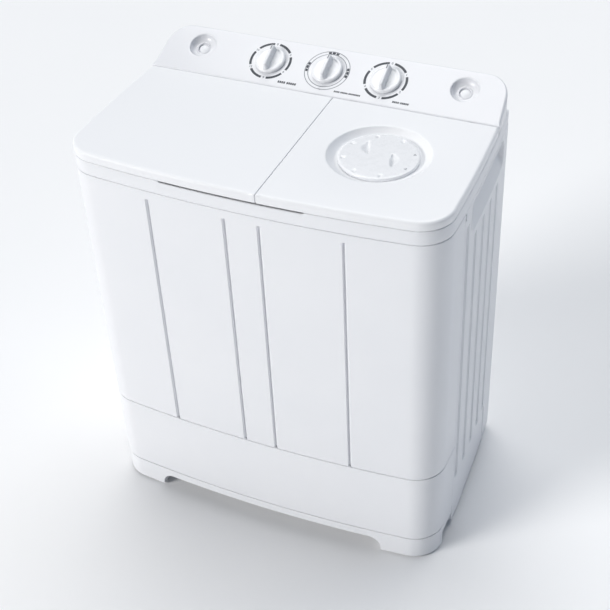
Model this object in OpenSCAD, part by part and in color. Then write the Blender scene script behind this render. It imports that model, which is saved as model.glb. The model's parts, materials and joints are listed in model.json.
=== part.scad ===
/* [Body] */
// Overall width, across the widest point of the bowed sides
body_w = 600; // [560:5:640]
// Overall depth, from the bowed front to the back of the console
body_d = 370; // [350:5:400]
// Height of the lid tops above the floor
lid_top = 690; // [670:2:710]
// Wall thickness of the moulded panels
wall = 3.5; // [3:0.5:4]
// Radius of the front corners in plan
corner_r = 52; // [40:2:60]
// Radius of the gentle bow of the front
front_bow_r = 2500; // [2000:100:4000]
// Radius of the gentle bow of the sides
side_bow_r = 2600; // [2000:100:3600]

/* [Levels] */
// Thickness of the rubber pads under the feet
pad_h = 3; // [2:0.5:5]
// Height of the lower edge of the base between its feet
base_lip_z = 30; // [26:1:34]
// Height of the joint between base and plinth
base_top = 45; // [42:1:48]
// Height of the joint between plinth and front panel
plinth_top = 190; // [170:5:210]
// Height of the joint between front panel and top frame
rim_bottom = 652; // [648:1:655]

/* [Lids] */
// Position of the split between the wash lid and the spin lid
lid_split_x = 27; // [22:1:30]
// Depth of the lids' skirts below their top faces
lid_skirt = 14.7; // [14:0.1:15]
// Radius of the round dish in the spin lid
dish_r = 75; // [70:1:80]
// Radius of the rinse dial that turns in the dish
dial_r = 60; // [57:1:61]

/* [Console] */
// Slope of the console's face in degrees
slope = 25; // [20:1:28]
// Distance between the knob centres
knob_pitch = 98; // [90:1:105]
// Radius of the knobs
knob_r = 25; // [22:0.5:27]
// Distance of the water inlets from the middle
inlet_x = 223; // [215:1:228]

/* [Hidden] */
$fn = 48;
eps = 0.01;
gap = 0.3;

// ---- derived plan geometry -------------------------------------------------------------
half_w = body_w / 2;
front_y = -body_d / 2;
back_y = body_d / 2;
panel_back_y = back_y - 4;
rim_top = lid_top - 15;
side_apex_y = front_y + 95;
front_c = [0, front_y + front_bow_r];
side_c = [half_w - side_bow_r, side_apex_y];
console_y = front_y + 286.5;
lid_back_y = console_y - 1.6;
wrap_y = front_y + 107;

// Centre of the corner arc that is tangent inside both bow arcs
function corner_centre() =
    let (d = side_c - front_c, l = norm(d), r0 = front_bow_r - corner_r,
         r1 = side_bow_r - corner_r, a = (r0 * r0 - r1 * r1 + l * l) / (2 * l),
         h = sqrt(r0 * r0 - a * a), u = d / l, v = [-u[1], u[0]])
    let (p = front_c + a * u + h * v, q = front_c + a * u - h * v)
    p[0] > q[0] ? p : q;
corner_c = corner_centre();
front_a = atan2(corner_c[0] - front_c[0], front_c[1] - corner_c[1]);
side_a = atan2(corner_c[1] - side_c[1], corner_c[0] - side_c[0]);

function arc(c, r, a0, a1, n) = [for (i = [0:n])
    let (a = a0 + (a1 - a0) * i / n) [c[0] + r * cos(a), c[1] + r * sin(a)]];
function mirrored(points) = [for (i = [len(points) - 1:-1:0]) [-points[i][0], points[i][1]]];

// Half width of the body at a given depth, and the front's place at a given width
function side_x(y, inset = 0) =
    side_c[0] + sqrt(pow(side_bow_r - inset, 2) - pow(y - side_c[1], 2));
function face_y(x, inset = 0) =
    front_c[1] - sqrt(pow(front_bow_r - inset, 2) - x * x);

// The plan outline of the body, moved inward by inset, up to the depth y_back
function right_half(inset, y_back) = concat(
    arc(front_c, front_bow_r - inset, -90, -90 + front_a, 6),
    arc(corner_c, corner_r - inset, -90 + front_a + 9, side_a - 9, 7),
    arc(side_c, side_bow_r - inset, side_a,
        asin((y_back - side_c[1]) / (side_bow_r - inset)), 7));
function plan(inset, y_back) =
    concat(right_half(inset, y_back), mirrored(right_half(inset, y_back)));

// The plan outline of the console, with its round rear corners
console_corner_r = 38;
function console_half(inset) =
    let (r = console_corner_r, cy = back_y - r,
         cx = side_c[0] + sqrt(pow(side_bow_r - r, 2) - pow(cy - side_c[1], 2)),
         a0 = asin((cy - side_c[1]) / (side_bow_r - r)))
    concat(arc(side_c, side_bow_r - inset, asin((console_y + inset - side_c[1])
               / (side_bow_r - inset)), a0, 3),
           arc([cx, cy], r - inset, a0 + 8, 90, 7));
function console_plan(inset) = concat(console_half(inset), mirrored(console_half(inset)));

module slab(points, z0, z1) {
    translate([0, 0, z0]) linear_extrude(z1 - z0) polygon(points);
}
module box(x0, x1, y0, y1, z0, z1) {
    translate([x0, y0, z0]) cube([x1 - x0, y1 - y0, z1 - z0]);
}
module disc(x, y, z0, z1, r) {
    translate([x, y, z0]) cylinder(h = z1 - z0, r = r);
}
module ring(x, y, z0, z1, r_out, r_in) {
    difference() {
        disc(x, y, z0, z1, r_out);
        disc(x, y, z0 - 1, z1 + 1, r_in);
    }
}
module round_rect(x0, x1, y0, y1, r) {
    translate([x0 + r, y0]) square([x1 - x0 - 2 * r, y1 - y0]);
    translate([x0, y0 + r]) square([x1 - x0, y1 - y0 - 2 * r]);
    for (x = [x0 + r, x1 - r], y = [y0 + r, y1 - r]) translate([x, y]) circle(r);
}
module wall_band(z0, z1, y0, y1, inset = 0) {
    intersection() {
        difference() {
            slab(plan(inset, panel_back_y), z0, z1);
            slab(plan(inset + wall, panel_back_y + 1), z0 - 1, z1 + 1);
        }
        box(-half_w - 1, half_w + 1, y0, y1, z0 - 2, z1 + 2);
    }
}
module on_console(x, along) {
    translate([x, console_y, lid_top]) rotate([slope, 0, 0]) translate([0, along, 0]) children();
}
// A straight run of tube between two points, with a ball at its first end
module tube_run(p, q, r) {
    d = q - p;
    translate(p) {
        sphere(r);
        rotate([0, acos(d[2] / norm(d)), atan2(d[1], d[0])]) cylinder(h = norm(d), r = r);
    }
}
module tube_route(points, r) {
    for (i = [0:len(points) - 2]) tube_run(points[i], points[i + 1], r);
}

// ---- base ------------------------------------------------------------------------------
base_inset = 4;
base_front_inset = 0.6;
foot_x = 208;
foot_depth = 62;
arch_r = 23;
pad_at = [[252, -136], [244, 142]];
pulley_window_r = 84;

// The base is nearly flush below the plinth and set in where the side panels hang over it
module base_slab(z0, z1, inward = 0) {
    slab(plan(base_inset + inward, panel_back_y - 4 - inward), z0, z1);
    intersection() {
        slab(plan(base_front_inset + inward, panel_back_y - 4), z0, z1);
        box(-half_w, half_w, front_y - 1, wrap_y - inward, z0, z1);
    }
}
module foot_zone(side) {
    intersection() {
        base_slab(pad_h, base_top);
        union() for (y = [front_y - 1, panel_back_y - foot_depth])
            box(side > 0 ? foot_x - arch_r : -half_w, side > 0 ? half_w : arch_r - foot_x,
                y, y + foot_depth + 1, pad_h, base_top);
    }
}
module base_frame() {
    color("gainsboro") difference() {
        union() {
            intersection() {
                difference() {
                    base_slab(base_lip_z, base_top);
                    base_slab(base_lip_z - 1, base_top + 1, wall);
                }
                box(-half_w, half_w, front_y - 1, back_y, 0, base_top);
            }
            base_slab(base_top - 4, base_top, wall - eps);
            for (side = [-1, 1]) foot_zone(side);
        }
        for (side = [-1, 1]) {
            translate([side * (foot_x - arch_r), front_y - 5, base_lip_z - arch_r])
                rotate([-90, 0, 0]) cylinder(h = body_d + 10, r = arch_r);
            for (s = [front_y - 5, panel_back_y - foot_depth - 5])
                box(side > 0 ? foot_x - arch_r - 1 : -foot_x, side > 0 ? foot_x : arch_r - foot_x + 1,
                    s, s + foot_depth + 10, 0, base_lip_z - arch_r);
        }
        disc(wash_c[0], wash_c[1], base_top - 5, base_top + 1, pulley_window_r);
    }
}
module rubber_feet() {
    color("dimgray") for (side = [-1, 1], p = pad_at)
        disc(side * p[0], p[1], 0, pad_h, 17);
}

// ---- panels ----------------------------------------------------------------------------
front_groove_x = [-156, -27.5, 27.5, 156];
side_groove_y = [for (i = [0:4]) front_y + 125 + 43 * i];
side_groove_top = [622, 582, 582, 582, 582];
side_bottom = 10;
side_groove_bottom = 105;
groove_r = 2.2;
side_groove_r = 9;
side_groove_out = 7;
cup_y0 = front_y + 143;
cup_y1 = front_y + 335;
cup_z0 = 594;
cup_z1 = 644;
cup_depth = 23.5;

module groove(x, y, z0, z1, r = groove_r) {
    translate([x, y, z0]) cylinder(h = z1 - z0, r = r);
    translate([x, y, z1]) sphere(r);
}
module plinth_panel() {
    color("whitesmoke") wall_band(base_top + 2, plinth_top - 1, front_y - 1, wrap_y);
}
module front_panel() {
    color("white") difference() {
        wall_band(plinth_top, rim_bottom - 1, front_y - 1, wrap_y);
        for (x = front_groove_x) groove(x, face_y(x), plinth_top - 1, rim_bottom - 15);
    }
}
module side_panel_right() {
    difference() {
        intersection() {
            wall_band(side_bottom, rim_bottom - eps, wrap_y + 0.5, panel_back_y - 3);
            box(0, half_w + 1, front_y, back_y, 0, rim_bottom);
        }
        intersection() {
            difference() {
                slab(plan(-3, panel_back_y), side_bottom - 1, 100);
                slab(plan(1, panel_back_y), side_bottom - 2, 101);
            }
            box(0, half_w + 5, front_y + 175, front_y + 312, 0, 101);
        }
        for (i = [0:4]) groove(side_x(side_groove_y[i]) + side_groove_out, side_groove_y[i],
            side_groove_bottom, side_groove_top[i], side_groove_r);
        cup_outline(0);
    }
}
module right_side_panel() {
    color("lavender") side_panel_right();
}
module left_side_panel() {
    color("lavender") mirror([1, 0, 0]) side_panel_right();
}
module side_shell(in0, in1, z0, z1) {
    difference() {
        slab(plan(in0, panel_back_y), z0, z1);
        slab(plan(in1, panel_back_y + 1), z0 - 1, z1 + 1);
    }
}
module cup_outline(margin) {
    translate([200, 0, 0]) rotate([90, 0, 90]) linear_extrude(120)
        round_rect(cup_y0 + margin, cup_y1 - margin, cup_z0 + margin, cup_z1 - margin,
            12 - margin);
}
module handle_cup_right() {
    difference() {
        intersection() {
            side_shell(wall, cup_depth, cup_z0 - 5, cup_z1 + 5);
            cup_outline(0);
        }
        intersection() {
            side_shell(-3, cup_depth - 2.5, cup_z0 - 5, cup_z1 + 5);
            cup_outline(2.5);
            translate([0, cup_y1, 0]) rotate([90, 0, 0]) linear_extrude(cup_y1 - cup_y0)
                polygon([[240, cup_z1], [240, cup_z1 - 24], [half_w - 24, cup_z1 - 24],
                    [half_w - 3, cup_z0 + 3], [half_w + 5, cup_z0 + 3], [half_w + 5, cup_z1]]);
        }
    }
}
module right_handle_cup() {
    color("gainsboro") handle_cup_right();
}
module left_handle_cup() {
    color("gainsboro") mirror([1, 0, 0]) handle_cup_right();
}
service_x = 176;
service_z0 = 58;
service_z1 = 400;
spigot_x = 222;
spigot_z = 92;
gland_x = -228;
gland_z = 110;
module rear_panel() {
    color("gainsboro") difference() {
        union() {
            intersection() {
                slab(plan(0, panel_back_y), base_lip_z, rim_bottom - eps);
                box(-half_w, half_w, panel_back_y - 3, panel_back_y, 0, lid_top);
            }
            box(spigot_x - recess_w - 2, spigot_x + recess_w + 2, panel_back_y - recess_d - 2,
                panel_back_y - 1, spigot_z - recess_w - 2, spigot_z + recess_w + 2);
        }
        box(spigot_x - recess_w, spigot_x + recess_w, panel_back_y - recess_d,
            panel_back_y + 1, spigot_z - recess_w, spigot_z + recess_w);
        box(-service_x + 12, service_x - 12, panel_back_y - 5, panel_back_y + 1,
            service_z0 + 12, service_z1 - 12);
        translate([spigot_x, panel_back_y + 1, spigot_z]) rotate([90, 0, 0])
            cylinder(h = recess_d + 9, r = 13.3);
        translate([gland_x, panel_back_y + 1, gland_z]) rotate([90, 0, 0])
            cylinder(h = 6, r = gland_bore_r);
    }
}
gland_bore_r = 5;
recess_w = 30;
recess_d = 30;
louvre_rows = 9;
module service_cover() {
    color("silver") difference() {
        box(-service_x, service_x, panel_back_y, panel_back_y + 2, service_z0, service_z1);
        for (i = [0:louvre_rows - 1], s = [-1, 1])
            box(s * 70 - 45, s * 70 + 45, panel_back_y - 1, panel_back_y + 3,
                service_z0 + 60 + i * 14, service_z0 + 64 + i * 14);
    }
}
module service_cover_screws() {
    color("silver") for (x = [-1, 1], z = [service_z0 + 6, (service_z0 + service_z1) / 2,
                                          service_z1 - 6])
        translate([x * (service_x - 6), panel_back_y + 2, z]) rotate([-90, 0, 0])
            cylinder(h = 2, r = 4);
}

// ---- top frame and hinges --------------------------------------------------------------
wash_x0 = -266;
wash_x1 = 14;
wash_y0 = front_y + 27;
wash_y1 = front_y + 269;
wash_c = [(wash_x0 + wash_x1) / 2, (wash_y0 + wash_y1) / 2];
spin_c = [152, front_y + 158];
spin_open_r = 112;
deck_z = rim_top - 11;
hinge_y = lid_back_y - 4;
hinge_z = lid_top - 4;
pin_r = 2;
ear_x = [-252, -8, 60, 252];
ear_w = 8;
ear_r = 2.8;
finger_x0 = -132;
finger_x1 = 102;

module top_frame() {
    color("white") difference() {
        union() {
            difference() {
                slab(plan(0, panel_back_y), rim_bottom, rim_top - gap);
                slab(plan(wall, panel_back_y - wall), rim_bottom - 1, rim_top + 1);
            }
            slab(plan(wall - eps, panel_back_y - wall + eps), deck_z - 4, deck_z);
            for (x = ear_x) {
                box(x - ear_w / 2, x + ear_w / 2, hinge_y - ear_r, hinge_y + ear_r, deck_z - 1,
                    hinge_z);
                translate([x - ear_w / 2, hinge_y, hinge_z]) rotate([0, 90, 0])
                    cylinder(h = ear_w, r = ear_r);
            }
        }
        translate([0, 0, deck_z - 6]) linear_extrude(12)
            round_rect(wash_x0, wash_x1, wash_y0, wash_y1, 38);
        disc(spin_c[0], spin_c[1], deck_z - 6, deck_z + 6, spin_open_r);
        box(-262, 262, console_y + 3, panel_back_y - 12, deck_z - 6, deck_z + 20);
        box(finger_x0, finger_x1, front_y - 5, front_y + 12, rim_top - 3.5, rim_top + 5);
        for (x = ear_x) translate([x - ear_w, hinge_y, hinge_z]) rotate([0, 90, 0])
            cylinder(h = 2 * ear_w, r = pin_r);
    }
}
module lid_hinge_pins() {
    color("silver") for (x = ear_x) translate([x - 14, hinge_y, hinge_z]) rotate([0, 90, 0])
        cylinder(h = 28, r = pin_r);
}

// ---- lids ------------------------------------------------------------------------------
barrel_r = 4;
module lid_plan(x0, x1, inset) {
    intersection() {
        polygon(plan(inset, lid_back_y + 10));
        translate([x0 + inset, front_y - 1]) square([x1 - x0 - 2 * inset, lid_back_y - 4
            - front_y + 1 - inset]);
    }
}
module lid_shell(x0, x1, ears) {
    bx0 = max(x0, -side_x(hinge_y) + 1);
    bx1 = min(x1, side_x(hinge_y) - 1);
    difference() {
        union() {
            translate([0, 0, lid_top - lid_skirt]) linear_extrude(lid_skirt)
                lid_plan(x0, x1, 0);
            translate([bx0, hinge_y, hinge_z]) rotate([0, 90, 0])
                cylinder(h = bx1 - bx0, r = barrel_r);
        }
        translate([0, 0, lid_top - lid_skirt - 1]) linear_extrude(lid_skirt - 2)
            lid_plan(x0, x1, 3);
        box(x0, x1, hinge_y - 12, lid_back_y + 5, lid_top - lid_skirt - 1, hinge_z - barrel_r);
        translate([x0 - 1, hinge_y, hinge_z]) rotate([0, 90, 0])
            cylinder(h = x1 - x0 + 2, r = pin_r + 0.06);
        for (x = ears) {
            box(x - ear_w / 2 - 1, x + ear_w / 2 + 1, hinge_y - 5.5, lid_back_y + 5,
                lid_top - lid_skirt - 1, lid_top - 0.7);
            box(x - ear_w / 2 - 1, x + ear_w / 2 + 1, hinge_y + 1, lid_back_y + 5,
                lid_top - lid_skirt - 1, lid_top + 1);
        }
    }
}
module wash_lid() {
    color("white") lid_shell(-half_w - 1, lid_split_x - 1, [ear_x[0], ear_x[1]]);
}
dish_floor_z = lid_top - 9;
floor_r = 64;
slot_at_r = 52;
slot_angles = [67.5, 112.5, 157.5, 202.5, 247.5, 292.5];
module rinse_slots(z0, z1, turn) {
    for (a = slot_angles) translate([spin_c[0], spin_c[1], 0]) rotate([0, 0, a + turn])
        box(slot_at_r - 5, slot_at_r + 5, -1.5, 1.5, z0, z1);
}
module spin_lid() {
    color("white") difference() {
        union() {
            lid_shell(lid_split_x + 1, half_w + 1, [ear_x[2], ear_x[3]]);
            translate([spin_c[0], spin_c[1], 0]) rotate_extrude() polygon([
                [0, dish_floor_z - 3], [floor_r + 2, dish_floor_z - 3], [dish_r + 4, lid_top - 4],
                [dish_r + 4, lid_top - 0.5], [0, lid_top - 0.5]]);
        }
        translate([spin_c[0], spin_c[1], 0]) rotate_extrude() polygon([
            [0, dish_floor_z], [floor_r, dish_floor_z], [dish_r, lid_top], [dish_r, lid_top + 3],
            [0, lid_top + 3]]);
        disc(spin_c[0], spin_c[1], dish_floor_z - 5, dish_floor_z + 1, 5.06);
        rinse_slots(dish_floor_z - 5, dish_floor_z + 1, 22.5);
    }
}
module rinse_dial() {
    top = dish_floor_z + 5;
    color("whitesmoke") difference() {
        union() {
            disc(spin_c[0], spin_c[1], dish_floor_z + 0.1, top, dial_r);
            disc(spin_c[0], spin_c[1], dish_floor_z - 4.5, dish_floor_z + 1, 5);
            disc(spin_c[0], spin_c[1], dish_floor_z - 6, dish_floor_z - 3.1, 8);
        }
        rinse_slots(dish_floor_z - 1, top + 1, 0);
        for (s = [-1, 1]) translate([spin_c[0] + s * 20, spin_c[1] - 17, 0])
            rotate([-90, 0, 0]) linear_extrude(34)
                polygon([[0, -top - 1], [0, -top + 3.6], [s * 4, -top + 3.6], [s * 22, -top - 1]]);
    }
}

// ---- tubs ------------------------------------------------------------------------------
tub_floor_z = 262;
spin_floor_z = 276;
module wash_tub() {
    color("whitesmoke") difference() {
        union() {
            translate([0, 0, deck_z - 8]) linear_extrude(4)
                round_rect(wash_x0 - 11, wash_x1 + 11, wash_y0 - 11, wash_y1 + 11, 49);
            translate([0, 0, tub_floor_z - 3]) linear_extrude(deck_z - 4 - tub_floor_z)
                round_rect(wash_x0 - 3, wash_x1 + 3, wash_y0 - 3, wash_y1 + 3, 41);
        }
        translate([0, 0, tub_floor_z]) linear_extrude(deck_z)
            round_rect(wash_x0, wash_x1, wash_y0, wash_y1, 38);
        disc(wash_c[0], wash_c[1], tub_floor_z - 5, tub_floor_z + 5, 12);
        disc(-30, wash_y1 - 22, tub_floor_z - 5, tub_floor_z + 5, 11);
    }
}
module spin_outer_tub() {
    color("whitesmoke") translate([spin_c[0], spin_c[1], 0]) difference() {
        rotate_extrude() polygon([[28, spin_floor_z], [118, spin_floor_z], [118, deck_z - 8],
            [spin_open_r, deck_z - 8], [spin_open_r, deck_z - 4], [124, deck_z - 4],
            [124, deck_z - 8], [121, deck_z - 8], [121, spin_floor_z - 3], [28, spin_floor_z - 3]]);
        translate([0, 92, spin_floor_z - 5]) cylinder(h = 10, r = 9);
    }
}

// ---- console ---------------------------------------------------------------------------
knob_along = 46;
inlet_along = 54;
inlet_r = 21;
shaft_r = 3;
module console_solid(inset) {
    top_y = back_y;
    rise = (top_y - console_y) * tan(slope);
    intersection() {
        slab(console_plan(inset), rim_top - 5, lid_top + 60);
        translate([half_w, 0, 0]) rotate([90, 0, -90]) linear_extrude(body_w) polygon([
            [-console_y + 5, rim_top - (inset > 0 ? 3 : 0)], [-console_y + 5, lid_top - inset - 2.33],
            [-top_y - 5, lid_top + rise - inset + 2.33],
            [-top_y - 5, rim_top - (inset > 0 ? 3 : 0)]]);
    }
}
module console_housing() {
    color("white") difference() {
        console_solid(0);
        console_solid(3);
        for (i = [-1:1]) on_console(i * knob_pitch, knob_along) translate([0, 0, -8])
            cylinder(h = 16, r = shaft_r + 0.06);
        for (s = [-1, 1]) on_console(s * inlet_x, inlet_along) translate([0, 0, -12])
            cylinder(h = 24, r = inlet_r);
    }
}
module timer_box(x, w, h) {
    on_console(x, knob_along) difference() {
        union() {
            translate([-w / 2, -w / 2 + 4, -h - 3]) cube([w, w - 8, h]);
            translate([0, 0, -3 - h]) cylinder(h = h - eps, r = 12);
        }
        translate([0, 0, -18]) cylinder(h = 20, r = shaft_r + 0.06);
    }
}
module wash_timer() {
    color("dimgray") timer_box(-knob_pitch, 52, 30);
}
module drain_selector() {
    color("slategray") timer_box(0, 44, 24);
}
module spin_timer() {
    color("dimgray") timer_box(knob_pitch, 52, 30);
}
module inlet_port(x) {
    on_console(x, inlet_along) rotate_extrude() polygon([[inlet_bore_r, -26], [13, -26], [13, -12],
        [inlet_r, -12], [inlet_r, 0], [inlet_r - 1.5, 0], [inlet_r - 4, -9], [inlet_bore_r, -9]]);
}
inlet_bore_r = 9.5;
module wash_inlet_port() {
    color("gainsboro") inlet_port(-inlet_x);
}
module spin_inlet_port() {
    color("gainsboro") inlet_port(inlet_x);
}
spout_z0 = deck_z + gap;
module water_spout(x0, x1, y0) {
    difference() {
        box(x0, x1, y0, console_y + 56, spout_z0, spout_z0 + 10.2);
        box(x0 + 2, x1 - 2, y0 - 1, console_y + 54, spout_z0 + 2, spout_z0 + 8.2);
        box(x0 + 4, x1 - 4, console_y + 28, console_y + 54, spout_z0 + 5, spout_z0 + 15);
    }
}
module wash_water_spout() {
    color("gainsboro") water_spout(-inlet_x - 16, -inlet_x + 16, wash_y1 - 8);
}
module spin_water_spout() {
    color("gainsboro") water_spout(inlet_x - 22, inlet_x + 10, wash_y1 - 16);
}
module knob(i, shaft_len) {
    on_console(i * knob_pitch, knob_along) {
        translate([0, 0, 0.5]) rotate_extrude() polygon([[0, 0], [knob_r, 0], [knob_r, 2],
            [knob_r - 2, 6], [knob_r - 5, 8], [0, 8]]);
        intersection() {
            translate([-4, -knob_r + 1, 1]) cube([8, 2 * knob_r - 2, 17]);
            translate([0, 0, 0]) cylinder(h = 30, r1 = knob_r + 4, r2 = knob_r - 14);
        }
        translate([0, 0, -shaft_len]) cylinder(h = shaft_len + 2, r = shaft_r);
    }
}
module wash_timer_knob() {
    color("white") knob(-1, 16);
}
module selector_knob() {
    color("white") knob(0, 16);
}
module spin_timer_knob() {
    color("white") knob(1, 16);
}

// ---- wash drive ------------------------------------------------------------------------
pulsator_r = 104;
wash_shaft_r = 7;
pulley_z = 76;
pulley_r = 84;
motor_pulley_r = 21;
motor_c = [-14, front_y + 279];
motor_r = 50;
module pulsator() {
    z0 = tub_floor_z + 4;
    color("white") translate([wash_c[0], wash_c[1], z0]) {
        rotate_extrude() polygon([[wash_shaft_r, 0], [pulsator_r, 0], [pulsator_r, 4],
            [pulsator_r - 8, 8], [40, 11], [24, 24], [wash_shaft_r, 24]]);
        for (i = [0:5]) rotate([0, 0, i * 60]) intersection() {
            translate([20, -5, 2]) cube([pulsator_r - 28, 10, 24]);
            rotate_extrude() polygon([[15, 0], [pulsator_r - 3, 0], [pulsator_r - 10, 14], [60, 24],
                [15, 26]]);
        }
    }
}
module pulsator_cap() {
    color("silver") disc(wash_c[0], wash_c[1], tub_floor_z + 28, tub_floor_z + 34, 13);
}
module wash_shaft() {
    color("silver") disc(wash_c[0], wash_c[1], pulley_z - 12, tub_floor_z + 28, wash_shaft_r);
}
function groove_profile(r) = [[r, -9], [r, -6.5], [r - 8, -5], [r - 8, 5], [r, 6.5], [r, 9]];
module pulley(c, r, bore, hub_r) {
    web_r = r - 20;
    inner_low = web_r > hub_r ? [[bore, -9], [hub_r, -9], [hub_r, -4], [web_r, -4], [web_r, -9]]
        : [[bore, -9]];
    inner_high = web_r > hub_r ? [[web_r, 9], [web_r, 4], [hub_r, 4], [hub_r, 9], [bore, 9]]
        : [[bore, 9]];
    translate([c[0], c[1], pulley_z]) rotate_extrude()
        polygon(concat(inner_low, groove_profile(r), inner_high));
}
module wash_pulley() {
    color("darkgray") difference() {
        pulley(wash_c, pulley_r, wash_shaft_r, 16);
        for (i = [0:5]) translate([wash_c[0], wash_c[1], pulley_z - 6]) rotate([0, 0, i * 60])
            translate([40, 0, 0]) cylinder(h = 12, r = 12);
    }
}
module wash_bearing_housing() {
    color("gray") translate([wash_c[0], wash_c[1], 0]) rotate_extrude() polygon([
        [12, 138], [24, 138], [24, 232], [46, 248], [46, tub_floor_z - 3], [12, tub_floor_z - 3]]);
}
module wash_shaft_bushes() {
    color("goldenrod") for (z = [139, 236])
        ring(wash_c[0], wash_c[1], z, z + 20, 12, wash_shaft_r + 0.05);
}
// Points of the loop that wraps both pulleys at the given extra radius
function belt_loop(extra) =
    let (d = motor_c - wash_c, l = norm(d), a = atan2(d[1], d[0]),
         r0 = pulley_r - 8 + extra, r1 = motor_pulley_r - 8 + extra, b = acos((r0 - r1) / l))
    concat(arc(wash_c, r0, a + b, a + 360 - b, 28), arc(motor_c, r1, a - b, a + b, 10));
module drive_belt() {
    color("black") difference() {
        slab(belt_loop(7.5), pulley_z - 4.5, pulley_z + 4.5);
        slab(belt_loop(gap + 0.3), pulley_z - 6, pulley_z + 6);
    }
}
module motor_housing(c, z0, z1) {
    translate([c[0], c[1], 0]) rotate_extrude() polygon([[8.2, z0], [motor_r - 8, z0],
        [motor_r, z0 + 8], [motor_r, z1 - 8], [motor_r - 8, z1], [8.2, z1], [8.2, z1 - 4],
        [motor_r - 14, z1 - 4], [motor_r - 14, z0 + 4], [8.2, z0 + 4]]);
}
module motor_rotor(c, z0, z1, shaft_z0, shaft_z1) {
    disc(c[0], c[1], shaft_z0, shaft_z1, 6);
    disc(c[0], c[1], z0 + 14, z1 - 14, motor_r - 16);
}
wash_motor_z0 = 98;
wash_motor_z1 = 182;
module wash_motor_housing() {
    color("dimgray") motor_housing(motor_c, wash_motor_z0, wash_motor_z1);
}
module wash_motor_rotor() {
    color("silver") motor_rotor(motor_c, wash_motor_z0, wash_motor_z1, pulley_z - 12,
        wash_motor_z1 + 6);
}
module wash_motor_pulley() {
    color("darkgray") pulley(motor_c, motor_pulley_r, 6, 12);
}
bracket_posts = [[motor_c[0] + 56, motor_c[1] - 36], [motor_c[0] + 58, motor_c[1] + 50],
    [motor_c[0] - 42, motor_c[1] + 56]];
module wash_motor_bracket() {
    color("slategray") difference() {
        union() {
            box(motor_c[0] - 52, motor_c[0] + 68, motor_c[1] - 46, motor_c[1] + 66,
                wash_motor_z0 - 4, wash_motor_z0);
            for (p = bracket_posts) disc(p[0], p[1], base_top, wash_motor_z0 - 3, 8);
        }
        disc(motor_c[0], motor_c[1], wash_motor_z0 - 6, wash_motor_z0 + 1, 25);
    }
}

// ---- spin drive ------------------------------------------------------------------------
basket_r = 100;
basket_z0 = 314;
basket_z1 = 612;
hole_rows = 4;
holes_per_row = 12;
spin_motor_z0 = 84;
spin_motor_z1 = 166;
drum_r = 40;
drum_z0 = 178;
drum_z1 = 198;
module spin_basket() {
    color("silver") translate([spin_c[0], spin_c[1], 0]) difference() {
        rotate_extrude() polygon([[8, basket_z0 - 16], [22, basket_z0 - 16], [30, basket_z0 - 2],
            [basket_r - 4, basket_z0 - 2], [basket_r, basket_z0 + 6], [basket_r, basket_z1],
            [basket_r - 2, basket_z1], [basket_r - 2, basket_z0 + 8], [basket_r - 6, basket_z0],
            [30, basket_z0], [22, basket_z0 + 16], [8, basket_z0 + 16]]);
        for (j = [0:hole_rows - 1], i = [0:holes_per_row - 1])
            translate([0, 0, basket_z0 + 45 + j * 65]) rotate([90, 0, (i + (j % 2) / 2)
                * 360 / holes_per_row]) cylinder(h = basket_r + 2, r = 4);
    }
}
module balance_ring() {
    color("white") translate([spin_c[0], spin_c[1], 0]) rotate_extrude() polygon([
        [basket_r - 14, basket_z1 - 2], [basket_r - 2, basket_z1 - 2], [basket_r - 2, basket_z1],
        [basket_r + 3, basket_z1], [basket_r + 3, basket_z1 + 18], [basket_r - 6, basket_z1 + 18],
        [basket_r - 6, basket_z1 + 8], [basket_r - 14, basket_z1 + 8]]);
}
module spin_safety_cover() {
    color("lightsteelblue") translate([spin_c[0], spin_c[1], 0]) difference() {
        union() {
            translate([0, 0, basket_z1 + 8]) cylinder(h = 3, r = basket_r - 7);
            translate([0, 0, basket_z1 - 4]) cylinder(h = 14, r = basket_r - 15);
        }
        translate([0, 0, basket_z1 - 1]) cylinder(h = 20, r = basket_r - 18);
        for (i = [0:7]) rotate([0, 0, i * 45]) translate([56, 0, basket_z1 - 8])
            cylinder(h = 20, r = 7);
        translate([0, 0, basket_z1 - 8]) cylinder(h = 20, r = 14);
    }
}
module spin_shaft() {
    color("silver") disc(spin_c[0], spin_c[1], spin_motor_z1 + 6, basket_z0 + 22, 8);
}
module brake_drum() {
    color("darkgray") ring(spin_c[0], spin_c[1], drum_z0, drum_z1, drum_r, 8);
}
post_at = [spin_c[0] + 62, spin_c[1] - 30];
module brake_post() {
    color("slategray") {
        disc(post_at[0], post_at[1], base_top, drum_z0 - gap, 8);
        disc(post_at[0], post_at[1], base_top, drum_z1 + 8, 3);
    }
}
module brake_lever() {
    color("slategray") difference() {
        union() {
            disc(post_at[0], post_at[1], drum_z0, drum_z1, 8);
            box(post_at[0] - 6, post_at[0] + 6, post_at[1] - 36, post_at[1] + 58,
                drum_z0 + 5, drum_z1 - 5);
            box(post_at[0] - 14, post_at[0] - 6, post_at[1] + 20, post_at[1] + 46,
                drum_z0 + 2, drum_z1 - 2);
        }
        disc(post_at[0], post_at[1], drum_z0 - 1, drum_z1 + 1, 3.06);
        disc(spin_c[0], spin_c[1], drum_z0 - 1, drum_z1 + 1, drum_r + 3);
    }
}
module spin_seal() {
    color("dimgray") translate([spin_c[0], spin_c[1], 0]) rotate_extrude() polygon([
        [14.1, 216], [22, 216], [22, 222], [34, 230], [26, 238], [38, 246], [30, 254], [40, 262],
        [40, spin_floor_z - 3], [28, spin_floor_z - 3], [28, 262], [20, 254], [26, 246],
        [16, 238], [24, 230], [14.1, 224]]);
}
module spin_bearing() {
    color("goldenrod") ring(spin_c[0], spin_c[1], 210, 230, 14, 8.05);
}
module spin_motor_housing() {
    color("dimgray") motor_housing(spin_c, spin_motor_z0, spin_motor_z1);
}
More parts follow.
